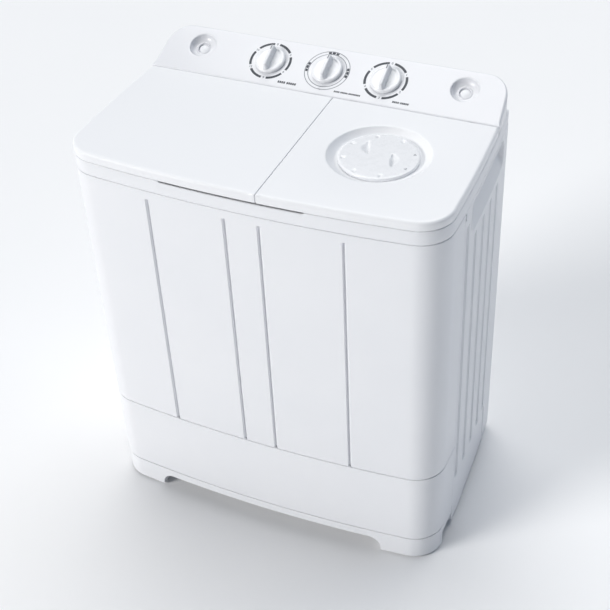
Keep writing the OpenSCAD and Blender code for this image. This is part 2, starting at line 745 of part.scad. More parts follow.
module spin_motor_rotor() {
    color("silver") motor_rotor(spin_c, spin_motor_z0, spin_motor_z1, spin_motor_z0 - 8,
        spin_motor_z1 + 6);
}
module spin_motor_springs() {
    color("gray") for (i = [0:2]) rotate_about(spin_c, i * 120 + 30) translate([34, 0, base_top])
        rotate_extrude() polygon([[4, 0], [13, 0], [13, 4], [9, 6], [13, 9], [9, 12], [13, 15],
            [9, 18], [13, 21], [9, 24], [13, 27], [9, 30], [13, 33], [13, spin_motor_z0 - base_top],
            [4, spin_motor_z0 - base_top]]);
}
module rotate_about(c, a) {
    translate([c[0], c[1], 0]) rotate([0, 0, a]) children();
}

// ---- water path ------------------------------------------------------------------------
valve_c = [0, console_y + 24];
valve_z0 = 198;
valve_z1 = 258;
module drain_valve_body() {
    color("gainsboro") difference() {
        union() {
            disc(valve_c[0], valve_c[1], valve_z0, valve_z1, 26);
            box(-46, -14, wash_y1 - 40, valve_c[1], tub_floor_z - 23, tub_floor_z - 3);
        }
        disc(valve_c[0], valve_c[1], valve_z0 + 3, valve_z1 - 3, 23);
        disc(valve_c[0], valve_c[1], valve_z1 - 5, valve_z1 + 1, 5);
        box(-43, -17, wash_y1 - 37, valve_c[1] - 5, tub_floor_z - 20, tub_floor_z - 6);
        disc(-30, wash_y1 - 22, tub_floor_z - 10, tub_floor_z, 11);
        translate([0, valve_c[1], valve_z0 + 14]) rotate([0, 90, 0]) cylinder(h = 30, r = 10);
    }
}
module drain_plug() {
    color("dimgray") {
        translate([valve_c[0], valve_c[1], valve_z0 + 3.1]) cylinder(h = 12, r1 = 12, r2 = 18);
        disc(valve_c[0], valve_c[1], valve_z0 + 15, rim_bottom - 6, 3);
    }
}
pipe_y = valve_c[1];
module drain_pipe() {
    color("gainsboro") difference() {
        union() {
            tube_route([[27, pipe_y, valve_z0 + 14], [spigot_x, pipe_y, valve_z0 + 14],
                [spigot_x, pipe_y, spigot_z], [spigot_x, panel_back_y - 1, spigot_z]], 13);
            translate([spigot_x, panel_back_y - recess_d, spigot_z]) rotate([-90, 0, 0])
                cylinder(h = 3, r = 18);
        }
        tube_route([[15, pipe_y, valve_z0 + 14], [spigot_x, pipe_y, valve_z0 + 14],
            [spigot_x, pipe_y, spigot_z], [spigot_x, back_y + 5, spigot_z]], 10);
        disc(valve_c[0], valve_c[1], valve_z0 - 1, valve_z1 + 1, 26);
        disc(spin_c[0], valve_c[1], valve_z0 + 14, valve_z0 + 34, 9);
    }
}
module spin_drain_hose() {
    y0 = spin_c[1] + 92;
    top = spin_floor_z - 3;
    color("dimgray") difference() {
        tube_route([[spin_c[0], y0, top], [spin_c[0], y0, top - 22], [spin_c[0], pipe_y, top - 22],
            [spin_c[0], pipe_y, valve_z0 + 22]], 12);
        tube_route([[spin_c[0], y0, top + 5], [spin_c[0], y0, top - 22],
            [spin_c[0], pipe_y, top - 22], [spin_c[0], pipe_y, valve_z0 + 10]], 9);
        disc(spin_c[0], y0, top, top + 30, 20);
        translate([spin_c[0] - 40, pipe_y, valve_z0 + 14]) rotate([0, 90, 0])
            cylinder(h = 80, r = 13);
    }
}
filter_x = wash_c[0] - 20;
module lint_filter() {
    color("lightsteelblue") difference() {
        box(filter_x - 40, filter_x + 40, wash_y1 - 30, wash_y1 - 10.3, 380, 580);
        for (i = [0:3]) box(filter_x - 34, filter_x + 34, wash_y1 - 28, wash_y1 + 5,
            388 + i * 47, 429 + i * 47);
        for (i = [0:3], j = [0:6]) box(filter_x - 32 + j * 9.5, filter_x - 27 + j * 9.5,
            wash_y1 - 35, wash_y1 - 20, 392 + i * 47, 425 + i * 47);
    }
}
module filter_channel() {
    color("gainsboro") difference() {
        box(filter_x - 46, filter_x + 46, wash_y1 - 10, wash_y1 - eps, 300, 620);
        box(filter_x - 42, filter_x + 42, wash_y1 - 6, wash_y1 + 1, 295, 614);
        box(filter_x - 30, filter_x + 30, wash_y1 - 15, wash_y1 - 1, 420, 560);
    }
}
module capacitors() {
    color("gray") for (x = [-190, -150]) {
        disc(x, panel_back_y - 26, base_top, base_top + 62, 17);
        disc(x, panel_back_y - 26, base_top + 60, base_top + 68, 6);
    }
}
module lid_switch() {
    color("dimgray") box(240, 262, console_y + 12, console_y + 40, deck_z - 8, deck_z + 8);
}

base_frame();
rubber_feet();
plinth_panel();
front_panel();
left_side_panel();
right_side_panel();
left_handle_cup();
right_handle_cup();
rear_panel();
service_cover();
service_cover_screws();
top_frame();
lid_hinge_pins();
wash_tub();
spin_outer_tub();
console_housing();
wash_timer();
drain_selector();
spin_timer();
wash_inlet_port();
spin_inlet_port();
wash_water_spout();
spin_water_spout();
wash_lid();
spin_lid();
rinse_dial();
wash_timer_knob();
selector_knob();
spin_timer_knob();
pulsator();
pulsator_cap();
wash_shaft();
wash_pulley();
wash_bearing_housing();
wash_shaft_bushes();
drive_belt();
wash_motor_housing();
wash_motor_rotor();
wash_motor_pulley();
wash_motor_bracket();
spin_basket();
balance_ring();
spin_safety_cover();
spin_shaft();
brake_drum();
brake_lever();
brake_post();
spin_seal();
spin_bearing();
spin_motor_housing();
spin_motor_rotor();
spin_motor_springs();
drain_valve_body();
drain_plug();
drain_pipe();
spin_drain_hose();
lint_filter();
filter_channel();
capacitors();
lid_switch();
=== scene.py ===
"""Looks of the twin tub washing machine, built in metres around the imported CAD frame."""
import json
import math
import bmesh
import bpy
from mathutils import Matrix, Vector


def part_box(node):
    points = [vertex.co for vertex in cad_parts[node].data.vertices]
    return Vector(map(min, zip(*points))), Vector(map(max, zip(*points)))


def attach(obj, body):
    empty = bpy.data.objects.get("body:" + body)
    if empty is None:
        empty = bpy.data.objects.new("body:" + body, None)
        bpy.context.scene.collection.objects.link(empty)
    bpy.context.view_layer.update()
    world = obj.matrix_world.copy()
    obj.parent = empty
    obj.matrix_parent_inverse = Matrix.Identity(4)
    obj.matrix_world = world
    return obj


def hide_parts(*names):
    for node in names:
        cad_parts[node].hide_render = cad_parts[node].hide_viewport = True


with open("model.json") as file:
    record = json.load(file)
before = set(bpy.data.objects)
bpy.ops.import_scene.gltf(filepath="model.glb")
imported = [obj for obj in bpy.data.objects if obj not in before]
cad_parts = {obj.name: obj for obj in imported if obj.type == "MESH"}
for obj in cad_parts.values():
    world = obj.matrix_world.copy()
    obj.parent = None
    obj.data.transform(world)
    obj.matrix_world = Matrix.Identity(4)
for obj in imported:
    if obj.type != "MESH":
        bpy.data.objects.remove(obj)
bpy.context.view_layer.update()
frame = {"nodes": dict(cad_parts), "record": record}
NODES = frame["nodes"]
MM = 0.001


def low(node):
    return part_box(node)[0] / MM


def high(node):
    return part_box(node)[1] / MM


# ---- driving dimensions, in millimetres, from the CAD nodes -------------------------------
LID_TOP = high("wash_lid").z
RIM_TOP = high("wash_lid").z - 15
RIM_BOTTOM = low("top_frame").z
PLINTH_TOP = high("plinth_panel").z + 1
BASE_TOP = high("base_frame").z
HALF_W = 300.0
FRONT_Y = low("top_frame").y
BACK_Y = high("console_housing").y
PANEL_BACK = high("top_frame").y
CORNER_R, FRONT_R, SIDE_R = 52.0, 2500.0, 2600.0
CONSOLE_Y = low("console_housing").y
LID_BACK = high("wash_lid").y
SLOPE = math.radians(25)
SPLIT = (high("wash_lid").x + low("spin_lid").x) / 2
SPIN = Vector(((low("spin_outer_tub").x + high("spin_outer_tub").x) / 2,
               (low("spin_outer_tub").y + high("spin_outer_tub").y) / 2, 0))
HINGE_Y, HINGE_Z = LID_BACK - 4, LID_TOP - 4
WASH_EARS, SPIN_EARS = (-252, -8), (60, 252)
KNOB_X, KNOB_ALONG = 98, 46
PORT_X, PORT_ALONG = 223.0, 54
SAME_POINT = 0.02
WALL_STEP = 9.0

SIDE_Y = FRONT_Y + 95
FRONT_C = Vector((0, FRONT_Y + FRONT_R))
SIDE_C = Vector((HALF_W - SIDE_R, SIDE_Y))


def corner_centre():
    """Centre of the corner arc that meets the front's and the side's arcs smoothly."""
    d = SIDE_C - FRONT_C
    l = d.length
    r0, r1 = FRONT_R - CORNER_R, SIDE_R - CORNER_R
    a = (r0 * r0 - r1 * r1 + l * l) / (2 * l)
    h = math.sqrt(r0 * r0 - a * a)
    u = d / l
    v = Vector((-u.y, u.x))
    p, q = FRONT_C + a * u + h * v, FRONT_C + a * u - h * v
    return p if p.x > q.x else q


CORNER_C = corner_centre()
FRONT_A = math.atan2(CORNER_C.x - FRONT_C.x, FRONT_C.y - CORNER_C.y)
SIDE_A = math.atan2(CORNER_C.y - SIDE_C.y, CORNER_C.x - SIDE_C.x)


def side_x(y):
    return SIDE_C.x + math.sqrt(SIDE_R ** 2 - (y - SIDE_C.y) ** 2)


def face_y(x):
    return FRONT_C.y - math.sqrt(FRONT_R ** 2 - x * x)


def arc(c, r, a0, a1, n):
    """Points of an arc as (x, y, nx, ny), with their outward normals."""
    out = []
    for i in range(n + 1):
        a = a0 + (a1 - a0) * i / n
        out.append((c[0] + r * math.cos(a), c[1] + r * math.sin(a), math.cos(a), math.sin(a)))
    return out


def dedupe(path):
    out = [path[0]]
    for p in path[1:]:
        if abs(p[0] - out[-1][0]) + abs(p[1] - out[-1][1]) > SAME_POINT:
            out.append(p)
    return out


def right_wall(y_end, xs=(), ys=()):
    """The body's right half outline with normals, from the middle of the front to y_end,
    with extra points at the given front xs and side ys."""
    pts = []
    x_end = FRONT_C.x + FRONT_R * math.sin(FRONT_A)
    grid = sorted(set([x_end * i / 24 for i in range(25)] + [x for x in xs if 0 <= x < x_end]))
    for x in grid:
        a = math.asin(x / FRONT_R)
        pts.append((x, FRONT_C.y - FRONT_R * math.cos(a), math.sin(a), -math.cos(a)))
    pts += arc(CORNER_C, CORNER_R, -math.pi / 2 + FRONT_A, SIDE_A, 16)
    y0 = pts[-1][1]
    n = max(2, int((y_end - y0) / WALL_STEP))
    grid = sorted(set([y0 + (y_end - y0) * i / n for i in range(n + 1)]
                      + [y for y in ys if y0 < y < y_end]))
    for y in grid:
        a = math.asin((y - SIDE_C.y) / SIDE_R)
        pts.append((SIDE_C.x + SIDE_R * math.cos(a), y, math.cos(a), math.sin(a)))
    return dedupe(pts)


def flip(path):
    """The path's mirror image in the plane x = 0, run the other way."""
    return [(-x, y, -nx, ny) for x, y, nx, ny in reversed(path)]


def circle(x, y, r, n):
    return [(x + r * math.cos(2 * math.pi * k / n), y + r * math.sin(2 * math.pi * k / n))
            for k in range(n)]


def rect(x0, y0, x1, y1):
    return [(x0, y0), (x1, y0), (x1, y1), (x0, y1)]


def smooth_step(t):
    t = min(1.0, max(0.0, t))
    return t * t * (3 - 2 * t)


def with_normals(points):
    """Outward normals for a closed counter-clockwise outline of (x, y) points."""
    out = []
    n = len(points)
    for i, p in enumerate(points):
        a, b = points[i - 1], points[(i + 1) % n]
        t0 = Vector((p[0] - a[0], p[1] - a[1])).normalized()
        t1 = Vector((b[0] - p[0], b[1] - p[1])).normalized()
        t = (t0 + t1).normalized()
        k = max(0.35, t.dot(t0))
        out.append((p[0], p[1], t.y / k, -t.x / k))
    return out


def round_path(points, radii, seg=6):
    """A closed polygon with its corners rounded, as plain points."""
    out = []
    n = len(points)
    for i, p in enumerate(points):
        p = Vector(p)
        a, b = Vector(points[i - 1]), Vector(points[(i + 1) % n])
        r = radii[i] if isinstance(radii, (list, tuple)) else radii
        u, v = (a - p), (b - p)
        if r <= 0 or u.length < 1e-6 or v.length < 1e-6:
            out.append(tuple(p))
            continue
        u, v = u.normalized(), v.normalized()
        ang = u.angle(v)
        if ang > math.pi - 0.02:
            out.append(tuple(p))
            continue
        d = r / math.tan(ang / 2)
        c = p + (u + v).normalized() * (r / math.sin(ang / 2))
        s, e = p + u * d, p + v * d
        a0 = math.atan2(s.y - c.y, s.x - c.x)
        a1 = math.atan2(e.y - c.y, e.x - c.x)
        while a1 - a0 > math.pi:
            a1 -= 2 * math.pi
        while a1 - a0 < -math.pi:
            a1 += 2 * math.pi
        for k in range(seg + 1):
            t = a0 + (a1 - a0) * k / seg
            out.append((c.x + r * math.cos(t), c.y + r * math.sin(t)))
    return out


FAR = 1e9
CORNER_PARTS = 5
OUTLINE_STEP = 5.0
CORNER_CLEAR = 9.5


def rounded(points, radii):
    """A convex counter-clockwise outline with rounded corners, as (x, y, nx, ny, r, mx, my):
    beyond the inset r a point follows its corner's mitre (mx, my)."""
    out = []
    for i, q in enumerate(points):
        p = Vector(q[:2])
        a, b = Vector(points[i - 1][:2]), Vector(points[(i + 1) % len(points)][:2])
        t0, t1 = (p - a).normalized(), (b - p).normalized()
        turn = math.atan2(t0.x * t1.y - t0.y * t1.x, t0.dot(t1))
        if radii[i] > 0 and turn > 0.02:
            r = radii[i]
            back = r * math.tan(turn / 2)
            c = p - t0 * back + Vector((-t0.y, t0.x)) * r
            m = (c - p).normalized() / math.cos(turn / 2)
            a0 = math.atan2(-t0.x, t0.y)
            for k in range(CORNER_PARTS + 1):
                w = a0 + turn * k / CORNER_PARTS
                out.append((c.x + r * math.cos(w), c.y + r * math.sin(w), math.cos(w),
                            math.sin(w), r, m.x, m.y))
        else:
            t = (t0 + t1).normalized()
            k = max(0.35, t.dot(t0))
            out.append((p.x, p.y, t.y / k, -t.x / k, FAR, 0.0, 0.0))
    dense = []
    for i, p in enumerate(out):
        q = out[(i + 1) % len(out)]
        dense.append(p)
        length = math.hypot(q[0] - p[0], q[1] - p[1])
        k = int(length / OUTLINE_STEP)
        for j in range(1, k + 1):
            f = j / (k + 1)
            if p[4] < FAR and f * length < CORNER_CLEAR:
                continue
            if q[4] < FAR and (1 - f) * length < CORNER_CLEAR:
                continue
            dense.append(tuple(p[d] * (1 - f) + q[d] * f for d in range(4)) + (FAR, 0.0, 0.0))
    return dense


def inset_point(p, i):
    """Where a point of rounded() goes when the outline is drawn in by i."""
    if i <= p[4]:
        return p[0] - p[2] * i, p[1] - p[3] * i
    return p[0] - p[2] * p[4] + p[5] * (i - p[4]), p[1] - p[3] * p[4] + p[6] * (i - p[4])


# ---- mesh building -----------------------------------------------------------------------
def link(ob):
    bpy.context.scene.collection.objects.link(ob)
    return ob


def new_object(name, bm, smooth_deg=32.0):
    bmesh.ops.remove_doubles(bm, verts=bm.verts, dist=1e-6)
    bmesh.ops.recalc_face_normals(bm, faces=bm.faces)
    me = bpy.data.meshes.new(name)
    bm.to_mesh(me)
    bm.free()
    ob = link(bpy.data.objects.new(name, me))
    finish_mesh(ob, smooth_deg)
    return ob


def finish_mesh(ob, smooth_deg):
    """Shades level faces flat and the others smooth, with sharp edges over an angle."""
    me = ob.data
    for p in me.polygons:
        zs = [me.vertices[i].co.z for i in p.vertices]
        p.use_smooth = max(zs) - min(zs) > 2e-6
    me.set_sharp_from_angle(angle=math.radians(smooth_deg))


def sweep(name, path, profile):
    """Sweeps a closed profile of (inset, z) along a closed plan path of (x, y, nx, ny).
    profile may be a function of the path point."""
    bm = bmesh.new()
    rows = []
    for p in path:
        prof = profile(p) if callable(profile) else profile
        rows.append([bm.verts.new(((p[0] - p[2] * i) * MM, (p[1] - p[3] * i) * MM, z * MM))
                     for i, z in prof])
    m = len(rows[0])
    for a, b in zip(rows, rows[1:] + rows[:1]):
        for j in range(m):
            k = (j + 1) % m
            try:
                bm.faces.new((a[j], b[j], b[k], a[k]))
            except ValueError:
                pass
    return new_object(name, bm)


def rings(name, loops, cap_first=True, deg=32.0):
    """Joins closed loops of 3-D points, in millimetres, into one skin."""
    bm = bmesh.new()
    vs = [[bm.verts.new(Vector(p) * MM) for p in loop] for loop in loops]
    for a, b in zip(vs, vs[1:]):
        n = len(a)
        for i in range(n):
            k = (i + 1) % n
            try:
                bm.faces.new((a[i], a[k], b[k], b[i]))
            except ValueError:
                pass
    if cap_first:
        bm.faces.new(list(reversed(vs[0])))
    bm.faces.new(vs[-1])
    return new_object(name, bm, deg)


def filled_rings(name, first, second, third, deg):
    """Three groups of joined loops; flat faces fill the space from one group to the next."""
    bm = bmesh.new()
    for loops in (first, second, third):
        vs = [[bm.verts.new(Vector(p) * MM) for p in loop] for loop in loops]
        for a, b in zip(vs, vs[1:]):
            for i in range(len(a)):
                k = (i + 1) % len(a)
                bm.faces.new((a[i], a[k], b[k], b[i]))
    bmesh.ops.remove_doubles(bm, verts=bm.verts, dist=1e-6)
    open_edges = [e for e in bm.edges if e.is_boundary]
    for z in (first[-1][0][2] * MM, second[-1][0][2] * MM):
        edges = [e for e in open_edges if e.is_valid
                 and all(abs(v.co.z - z) < 1e-6 for v in e.verts)]
        bmesh.ops.triangle_fill(bm, edges=edges, use_beauty=True, use_dissolve=False)
    return new_object(name, bm, deg)


def lathe(name, profile, centre=(0, 0, 0), seg=64, deg=32.0, place=None):
    """Turns a profile of (radius, z) about the Z axis through centre."""
    bm = bmesh.new()
    rows = []
    for k in range(seg):
        a = 2 * math.pi * k / seg
        row = []
        for r, z in profile:
            v = Vector((centre[0] + r * math.cos(a), centre[1] + r * math.sin(a), centre[2] + z))
            if place is not None:
                v = place @ v
            row.append(bm.verts.new(v * MM))
        rows.append(row)
    for k in range(seg):
        a, b = rows[k], rows[(k + 1) % seg]
        for j in range(len(profile) - 1):
            i = j + 1
            if (profile[j][0] < 1e-6) and (profile[i][0] < 1e-6):
                continue
            quad = [a[j], b[j], b[i], a[i]]
            if profile[j][0] < 1e-6:
                quad = [a[j], b[i], a[i]]
            if profile[i][0] < 1e-6:
                quad = [a[j], b[j], a[i]]
            bm.faces.new(quad)
    return new_object(name, bm, deg)


def plate(name, loops, z0, z1):
    """A flat plate between two heights, from an outer loop and the loops of its holes."""
    bm = bmesh.new()
    edges = []
    for loop in loops:
        vs = [bm.verts.new((p[0] * MM, p[1] * MM, z1 * MM)) for p in loop]
        edges += [bm.edges.new((vs[i - 1], vs[i])) for i in range(len(vs))]
    bmesh.ops.triangle_fill(bm, edges=edges, use_beauty=True, use_dissolve=False)
    out = bmesh.ops.extrude_face_region(bm, geom=bm.faces[:])
    bmesh.ops.translate(bm, vec=(0, 0, (z0 - z1) * MM),
                        verts=[g for g in out["geom"] if isinstance(g, bmesh.types.BMVert)])
    return new_object(name, bm)


def placed(place, points, heights):
    """Loops of a plan outline at some heights, moved by a matrix."""
    return [[tuple(place @ Vector((x, y, h))) for x, y in points] for h in heights]


def cut(ob, cutter, deg):
    """Takes the cutter out of an object."""
    mod = ob.modifiers.new("cut", "BOOLEAN")
    mod.operation = "DIFFERENCE"
    mod.solver = "EXACT"
    mod.object = cutter
    bpy.context.view_layer.update()
    dg = bpy.context.evaluated_depsgraph_get()
    me = bpy.data.meshes.new_from_object(ob.evaluated_get(dg))
    ob.modifiers.clear()
    ob.data = me
    finish_mesh(ob, deg)
    bpy.data.objects.remove(cutter)


def join(name, objects):
    bm = bmesh.new()
    for o in objects:
        me = o.data.copy()
        me.transform(o.matrix_world)
        bm.from_mesh(me)
        bpy.data.meshes.remove(me)
    me = bpy.data.meshes.new(name)
    bm.to_mesh(me)
    bm.free()
    ob = link(bpy.data.objects.new(name, me))
    for o in objects:
        bpy.data.objects.remove(o)
    return ob


def finalise(ob, body, mat, replaced=()):
    """Gives a piece its material, body and material slot, and hides the CAD nodes it stands for.
    """
    ob.data.materials.clear()
    ob.data.materials.append(mat)
    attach(ob, body)
    if replaced:
        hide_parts(*replaced)


# ---- materials ---------------------------------------------------------------------------
COAT_ROUGH = 0.08
BUMP_DEPTH = 0.02 * MM
RELIEF_SHARE = 0.04


def add_node(tree, kind, values=None, wires=None):
    """A shader node with its inputs set or wired, by name or number."""
    node = tree.nodes.new("ShaderNode" + kind)
    for socket, value in (values or {}).items():
        node.inputs[socket].default_value = value
    for socket, source in (wires or {}).items():
        tree.links.new(source, node.inputs[socket])
    return node


def material(name, colour, rough, metallic=0.0, coat=0.0, grain=900.0, grain_amp=0.03,
             tint=0.015, tint_scale=6.0, rough_var=0.05, spec=0.5, brushed=None):
    """A moulded or machined finish: slow colour drift, uneven gloss and a fine relief."""
    m = bpy.data.materials.new(name)
    m.use_nodes = True
    tree = m.node_tree
    tree.nodes.clear()
    vec = add_node(tree, "TexCoord").outputs["Object"]

    def noise(scale, detail, at):
        return add_node(tree, "TexNoise", {"Scale": scale, "Detail": detail},
                        {"Vector": at}).outputs["Fac"]

    ramp = add_node(tree, "ValToRGB", {}, {"Fac": noise(tint_scale, 3.0, vec)})
    low_tint = [max(0, c - tint * (1.0 + 0.35 * (2 - i))) for i, c in enumerate(colour)]
    high_tint = [min(1, c + tint) for c in colour]
    for stop, place, shade in zip(ramp.color_ramp.elements, (0.3, 0.7), (low_tint, high_tint)):
        stop.position = place
        stop.color = (*shade, 1)
    fine_vec = vec
    if brushed is not None:
        fine_vec = add_node(tree, "Mapping", {"Scale": brushed},
                            {"Vector": vec}).outputs["Vector"]
    fine = noise(grain, 4.0, fine_vec)
    medium = noise(grain / 14.0, 2.0, vec)
    both = add_node(tree, "Math", {}, {0: fine, 1: medium})
    both.operation = "ADD"
    relief = add_node(tree, "Math", {1: RELIEF_SHARE}, {0: medium, 2: fine})
    relief.operation = "MULTIPLY_ADD"
    gloss = add_node(tree, "MapRange", {"From Min": 0.6, "From Max": 1.4,
                                        "To Min": max(0.02, rough - rough_var),
                                        "To Max": min(1, rough + rough_var)},
                     {"Value": both.outputs[0]})
    bump = add_node(tree, "Bump", {"Strength": grain_amp, "Distance": BUMP_DEPTH},
                    {"Height": relief.outputs[0]})
    shader = add_node(tree, "BsdfPrincipled",
                      {"Metallic": metallic, "Specular IOR Level": spec, "Coat Weight": coat,
                       "Coat Roughness": COAT_ROUGH},
                      {"Base Color": ramp.outputs["Color"], "Roughness": gloss.outputs[0],
                       "Normal": bump.outputs["Normal"]})
    add_node(tree, "OutputMaterial", {}, {"Surface": shader.outputs["BSDF"]})
    return m


WHITE = (0.83, 0.835, 0.86)
M_SHELL = material("shell_white", WHITE, 0.36, coat=0.08, grain=500, grain_amp=0.1, tint=0.008,
                   rough_var=0.03, spec=0.3)
M_LID = material("lid_white", (0.86, 0.865, 0.885), 0.34, coat=0.08, grain=400, grain_amp=0.06,
                 tint=0.003, tint_scale=2.5, rough_var=0.02, spec=0.3)
# The console is the same white plastic as the shell, given a darker colour: painted shade on its
# sloping face.
M_CONSOLE_PAINTED_SHADE = material("console_white_painted_shade", (0.765, 0.77, 0.80), 0.32, coat=0.25, grain=500,
                     grain_amp=0.1, tint=0.006, rough_var=0.03)
M_KNOB = material("knob_white", (0.84, 0.845, 0.865), 0.28, coat=0.3, grain=900, grain_amp=0.2,
                  tint=0.010)
M_TUB = material("tub_white", (0.76, 0.80, 0.84), 0.34, coat=0.15, grain=450, grain_amp=0.3,
                 tint=0.02)
M_INNER = material("inner_grey", (0.47, 0.49, 0.52), 0.5, grain=600, grain_amp=0.4, tint=0.03)
M_BLUE = material("clear_blue", (0.42, 0.56, 0.72), 0.22, coat=0.3, grain=500, grain_amp=0.2,
                  tint=0.02)
M_RUBBER = material("rubber_dark", (0.028, 0.028, 0.031), 0.78, grain=900, grain_amp=0.6,
                    tint=0.006, spec=0.35)
M_BELT = material("belt_black", (0.016, 0.016, 0.016), 0.7, grain=1200, grain_amp=0.7,
                  tint=0.004)
M_STEEL = material("steel", (0.55, 0.56, 0.57), 0.3, metallic=1.0, grain=260, grain_amp=0.2,
                   brushed=(1, 1, 12), tint=0.03)
M_BASKET = material("basket_steel", (0.62, 0.64, 0.66), 0.27, metallic=1.0, grain=180,
                    grain_amp=0.15, brushed=(1, 1, 14), tint=0.03)
M_ALLOY = material("alloy", (0.52, 0.53, 0.54), 0.45, metallic=1.0, grain=900, grain_amp=0.5,
                   tint=0.03)
M_MOTOR = material("motor_paint", (0.035, 0.04, 0.048), 0.42, grain=700, grain_amp=0.35,
                   tint=0.008, coat=0.15)
M_ZINC = material("bracket_zinc", (0.42, 0.44, 0.47), 0.4, metallic=0.85, grain=80,
                  grain_amp=0.15, tint=0.05, tint_scale=60)
M_BRONZE = material("bronze", (0.46, 0.29, 0.12), 0.4, metallic=1.0, grain=900, grain_amp=0.4,
                    tint=0.03)
M_DARK = material("dark_plastic", (0.045, 0.047, 0.052), 0.5, grain=700, grain_amp=0.4,
                  tint=0.01)
M_PRINT = material("print_charcoal", (0.045, 0.050, 0.062), 0.45, grain=1500, grain_amp=0.15,
                   tint=0.012, tint_scale=400)
M_PRINT_GREY = material("print_grey", (0.22, 0.23, 0.26), 0.45, grain=1500, grain_amp=0.15,
                        tint=0.02, tint_scale=400)
BY_SLOT = {"white_shell": M_SHELL, "white_lid": M_LID, "knob_white": M_KNOB, "tub_white": M_TUB,
           "inner_grey": M_INNER, "clear_blue": M_BLUE, "rubber_dark": M_RUBBER,
           "belt_black": M_BELT, "steel": M_STEEL, "basket_steel": M_BASKET, "alloy": M_ALLOY,
           "motor_paint": M_MOTOR, "bracket_zinc": M_ZINC, "bronze": M_BRONZE,
           "dark_plastic": M_DARK}
for part in frame["record"]["subparts"]:
    ob = NODES[part["node"]]
    ob.data.materials.clear()
    ob.data.materials.append(BY_SLOT[part["material_slot"]])

# ---- camera, light, floor ----------------------------------------------------------------
CAM_POS = (0.698, -1.449, 1.653)
CAM_YAW, CAM_PITCH, CAM_ROLL = 25.48, 39.16, -3.13
CAM_FOCAL, CAM_FRAME, CAM_SENSOR = 1237.8, 610.0, 36.0


def make_camera():
    """The camera at its place, looking down by its pitch and turned by its yaw and roll."""
    yaw, pitch, roll = (math.radians(v) for v in (CAM_YAW, CAM_PITCH, CAM_ROLL))
    ahead = Vector((-math.sin(yaw) * math.cos(pitch), math.cos(yaw) * math.cos(pitch),
                    -math.sin(pitch)))
    level = Vector((math.cos(yaw), math.sin(yaw), 0))
    over = level.cross(ahead)
    right = level * math.cos(roll) + over * math.sin(roll)
    up = over * math.cos(roll) - level * math.sin(roll)
    m = Matrix((right, up, -ahead)).transposed().to_4x4()
    m.translation = Vector(CAM_POS)
    cam = bpy.data.cameras.new("camera")
    cam.sensor_width = CAM_SENSOR
    cam.lens = CAM_SENSOR * CAM_FOCAL / CAM_FRAME
    cam.clip_start, cam.clip_end = 0.05, 40.0
    ob = link(bpy.data.objects.new("camera", cam))
    ob.matrix_world = m
    bpy.context.scene.camera = ob


def sun_light(name, source, strength, angle, colour):
    """A soft, even light from a direction, as wide as the given angle."""
    light = bpy.data.lights.new(name, "SUN")
    light.energy = strength
    light.angle = math.radians(angle)
    light.color = colour
    ob = link(bpy.data.objects.new(name, light))
    ob.rotation_euler = (-Vector(source)).to_track_quat("-Z", "Y").to_euler()


HORIZON_BAND = 0.085
SKY, HORIZON = (0.112, 0.134, 0.165, 1), (0.86, 0.88, 0.90, 1)
FLOOR_HALF, FLOOR_CELLS = 16.0, 24


def make_stage():
    """A dim sky with a pale horizon, three soft suns and a pale floor."""
    sc = bpy.context.scene
    sc.view_settings.view_transform = "Standard"
    world = bpy.data.worlds.new("studio")
    world.use_nodes = True
    sc.world = world
    tree = world.node_tree
    parts = add_node(tree, "SeparateXYZ", {},
                     {0: add_node(tree, "TexCoord").outputs["Generated"]})
    band = add_node(tree, "MapRange", {"From Max": HORIZON_BAND, "To Min": 1.0, "To Max": 0.0},
                    {"Value": parts.outputs["Z"]})
    sky = add_node(tree, "Mix", {}, {0: band.outputs["Result"]})
    sky.data_type = "RGBA"
    colour_a, colour_b = [socket for socket in sky.inputs if socket.type == "RGBA"]
    colour_a.default_value, colour_b.default_value = SKY, HORIZON
    mixed = [socket for socket in sky.outputs if socket.type == "RGBA"][0]
    tree.links.new(mixed, tree.nodes["Background"].inputs["Color"])
    sun_light("key", (-0.61, -0.67, 0.42), 2.2, 24, (1.0, 0.985, 0.955))
    sun_light("top", (-0.12, 0.42, 0.90), 2.05, 50, (1.0, 0.995, 0.98))
    sun_light("fill", (0.62, 0.58, 0.53), 0.27, 40, (0.62, 0.78, 1.0))
    bm = bmesh.new()
    n, size = FLOOR_CELLS, FLOOR_HALF
    vs = [[bm.verts.new((-size + 2 * size * i / n, -size + 2 * size * j / n, -0.0002))
           for j in range(n + 1)] for i in range(n + 1)]
    for i in range(n):
        for j in range(n):
            bm.faces.new((vs[i][j], vs[i + 1][j], vs[i + 1][j + 1], vs[i][j + 1]))
    floor = new_object("studio_floor", bm)
    floor.data.materials.append(material("floor_white", (0.87, 0.87, 0.878), 0.6, grain=30,
                                         grain_amp=0.02, tint=0.004, tint_scale=1.5, spec=0.2))


make_camera()
make_stage()


# ---- body panels ---------------------------------------------------------------------------
def groove_depth(d, left, right, deep, power):
    """Depth of a groove at distance d from its middle, with its own width on either side."""
    t = -d / left if d < 0 else d / right
    return deep * (1 - t ** power) if t < 1 else 0.0


GROOVE_STEPS = (-8.4, -7.3, -6.6, -5.6, -4.6, -4.0, -3.2, -2.5, -1.7, -1.2, -0.8, -0.4, 0, 0.5,
                1.0, 1.5, 2.0, 2.5, 3.0, 3.8, 4.6, 5.6, 6.6, 7.3, 8.4)


def end_mask(z, z_low, z_high, r):
    """1 along a groove, falling to 0 at its ends over r."""
    return min(1.0, max(0.0, (z_high - z) / r), max(0.0, (z - z_low) / r))


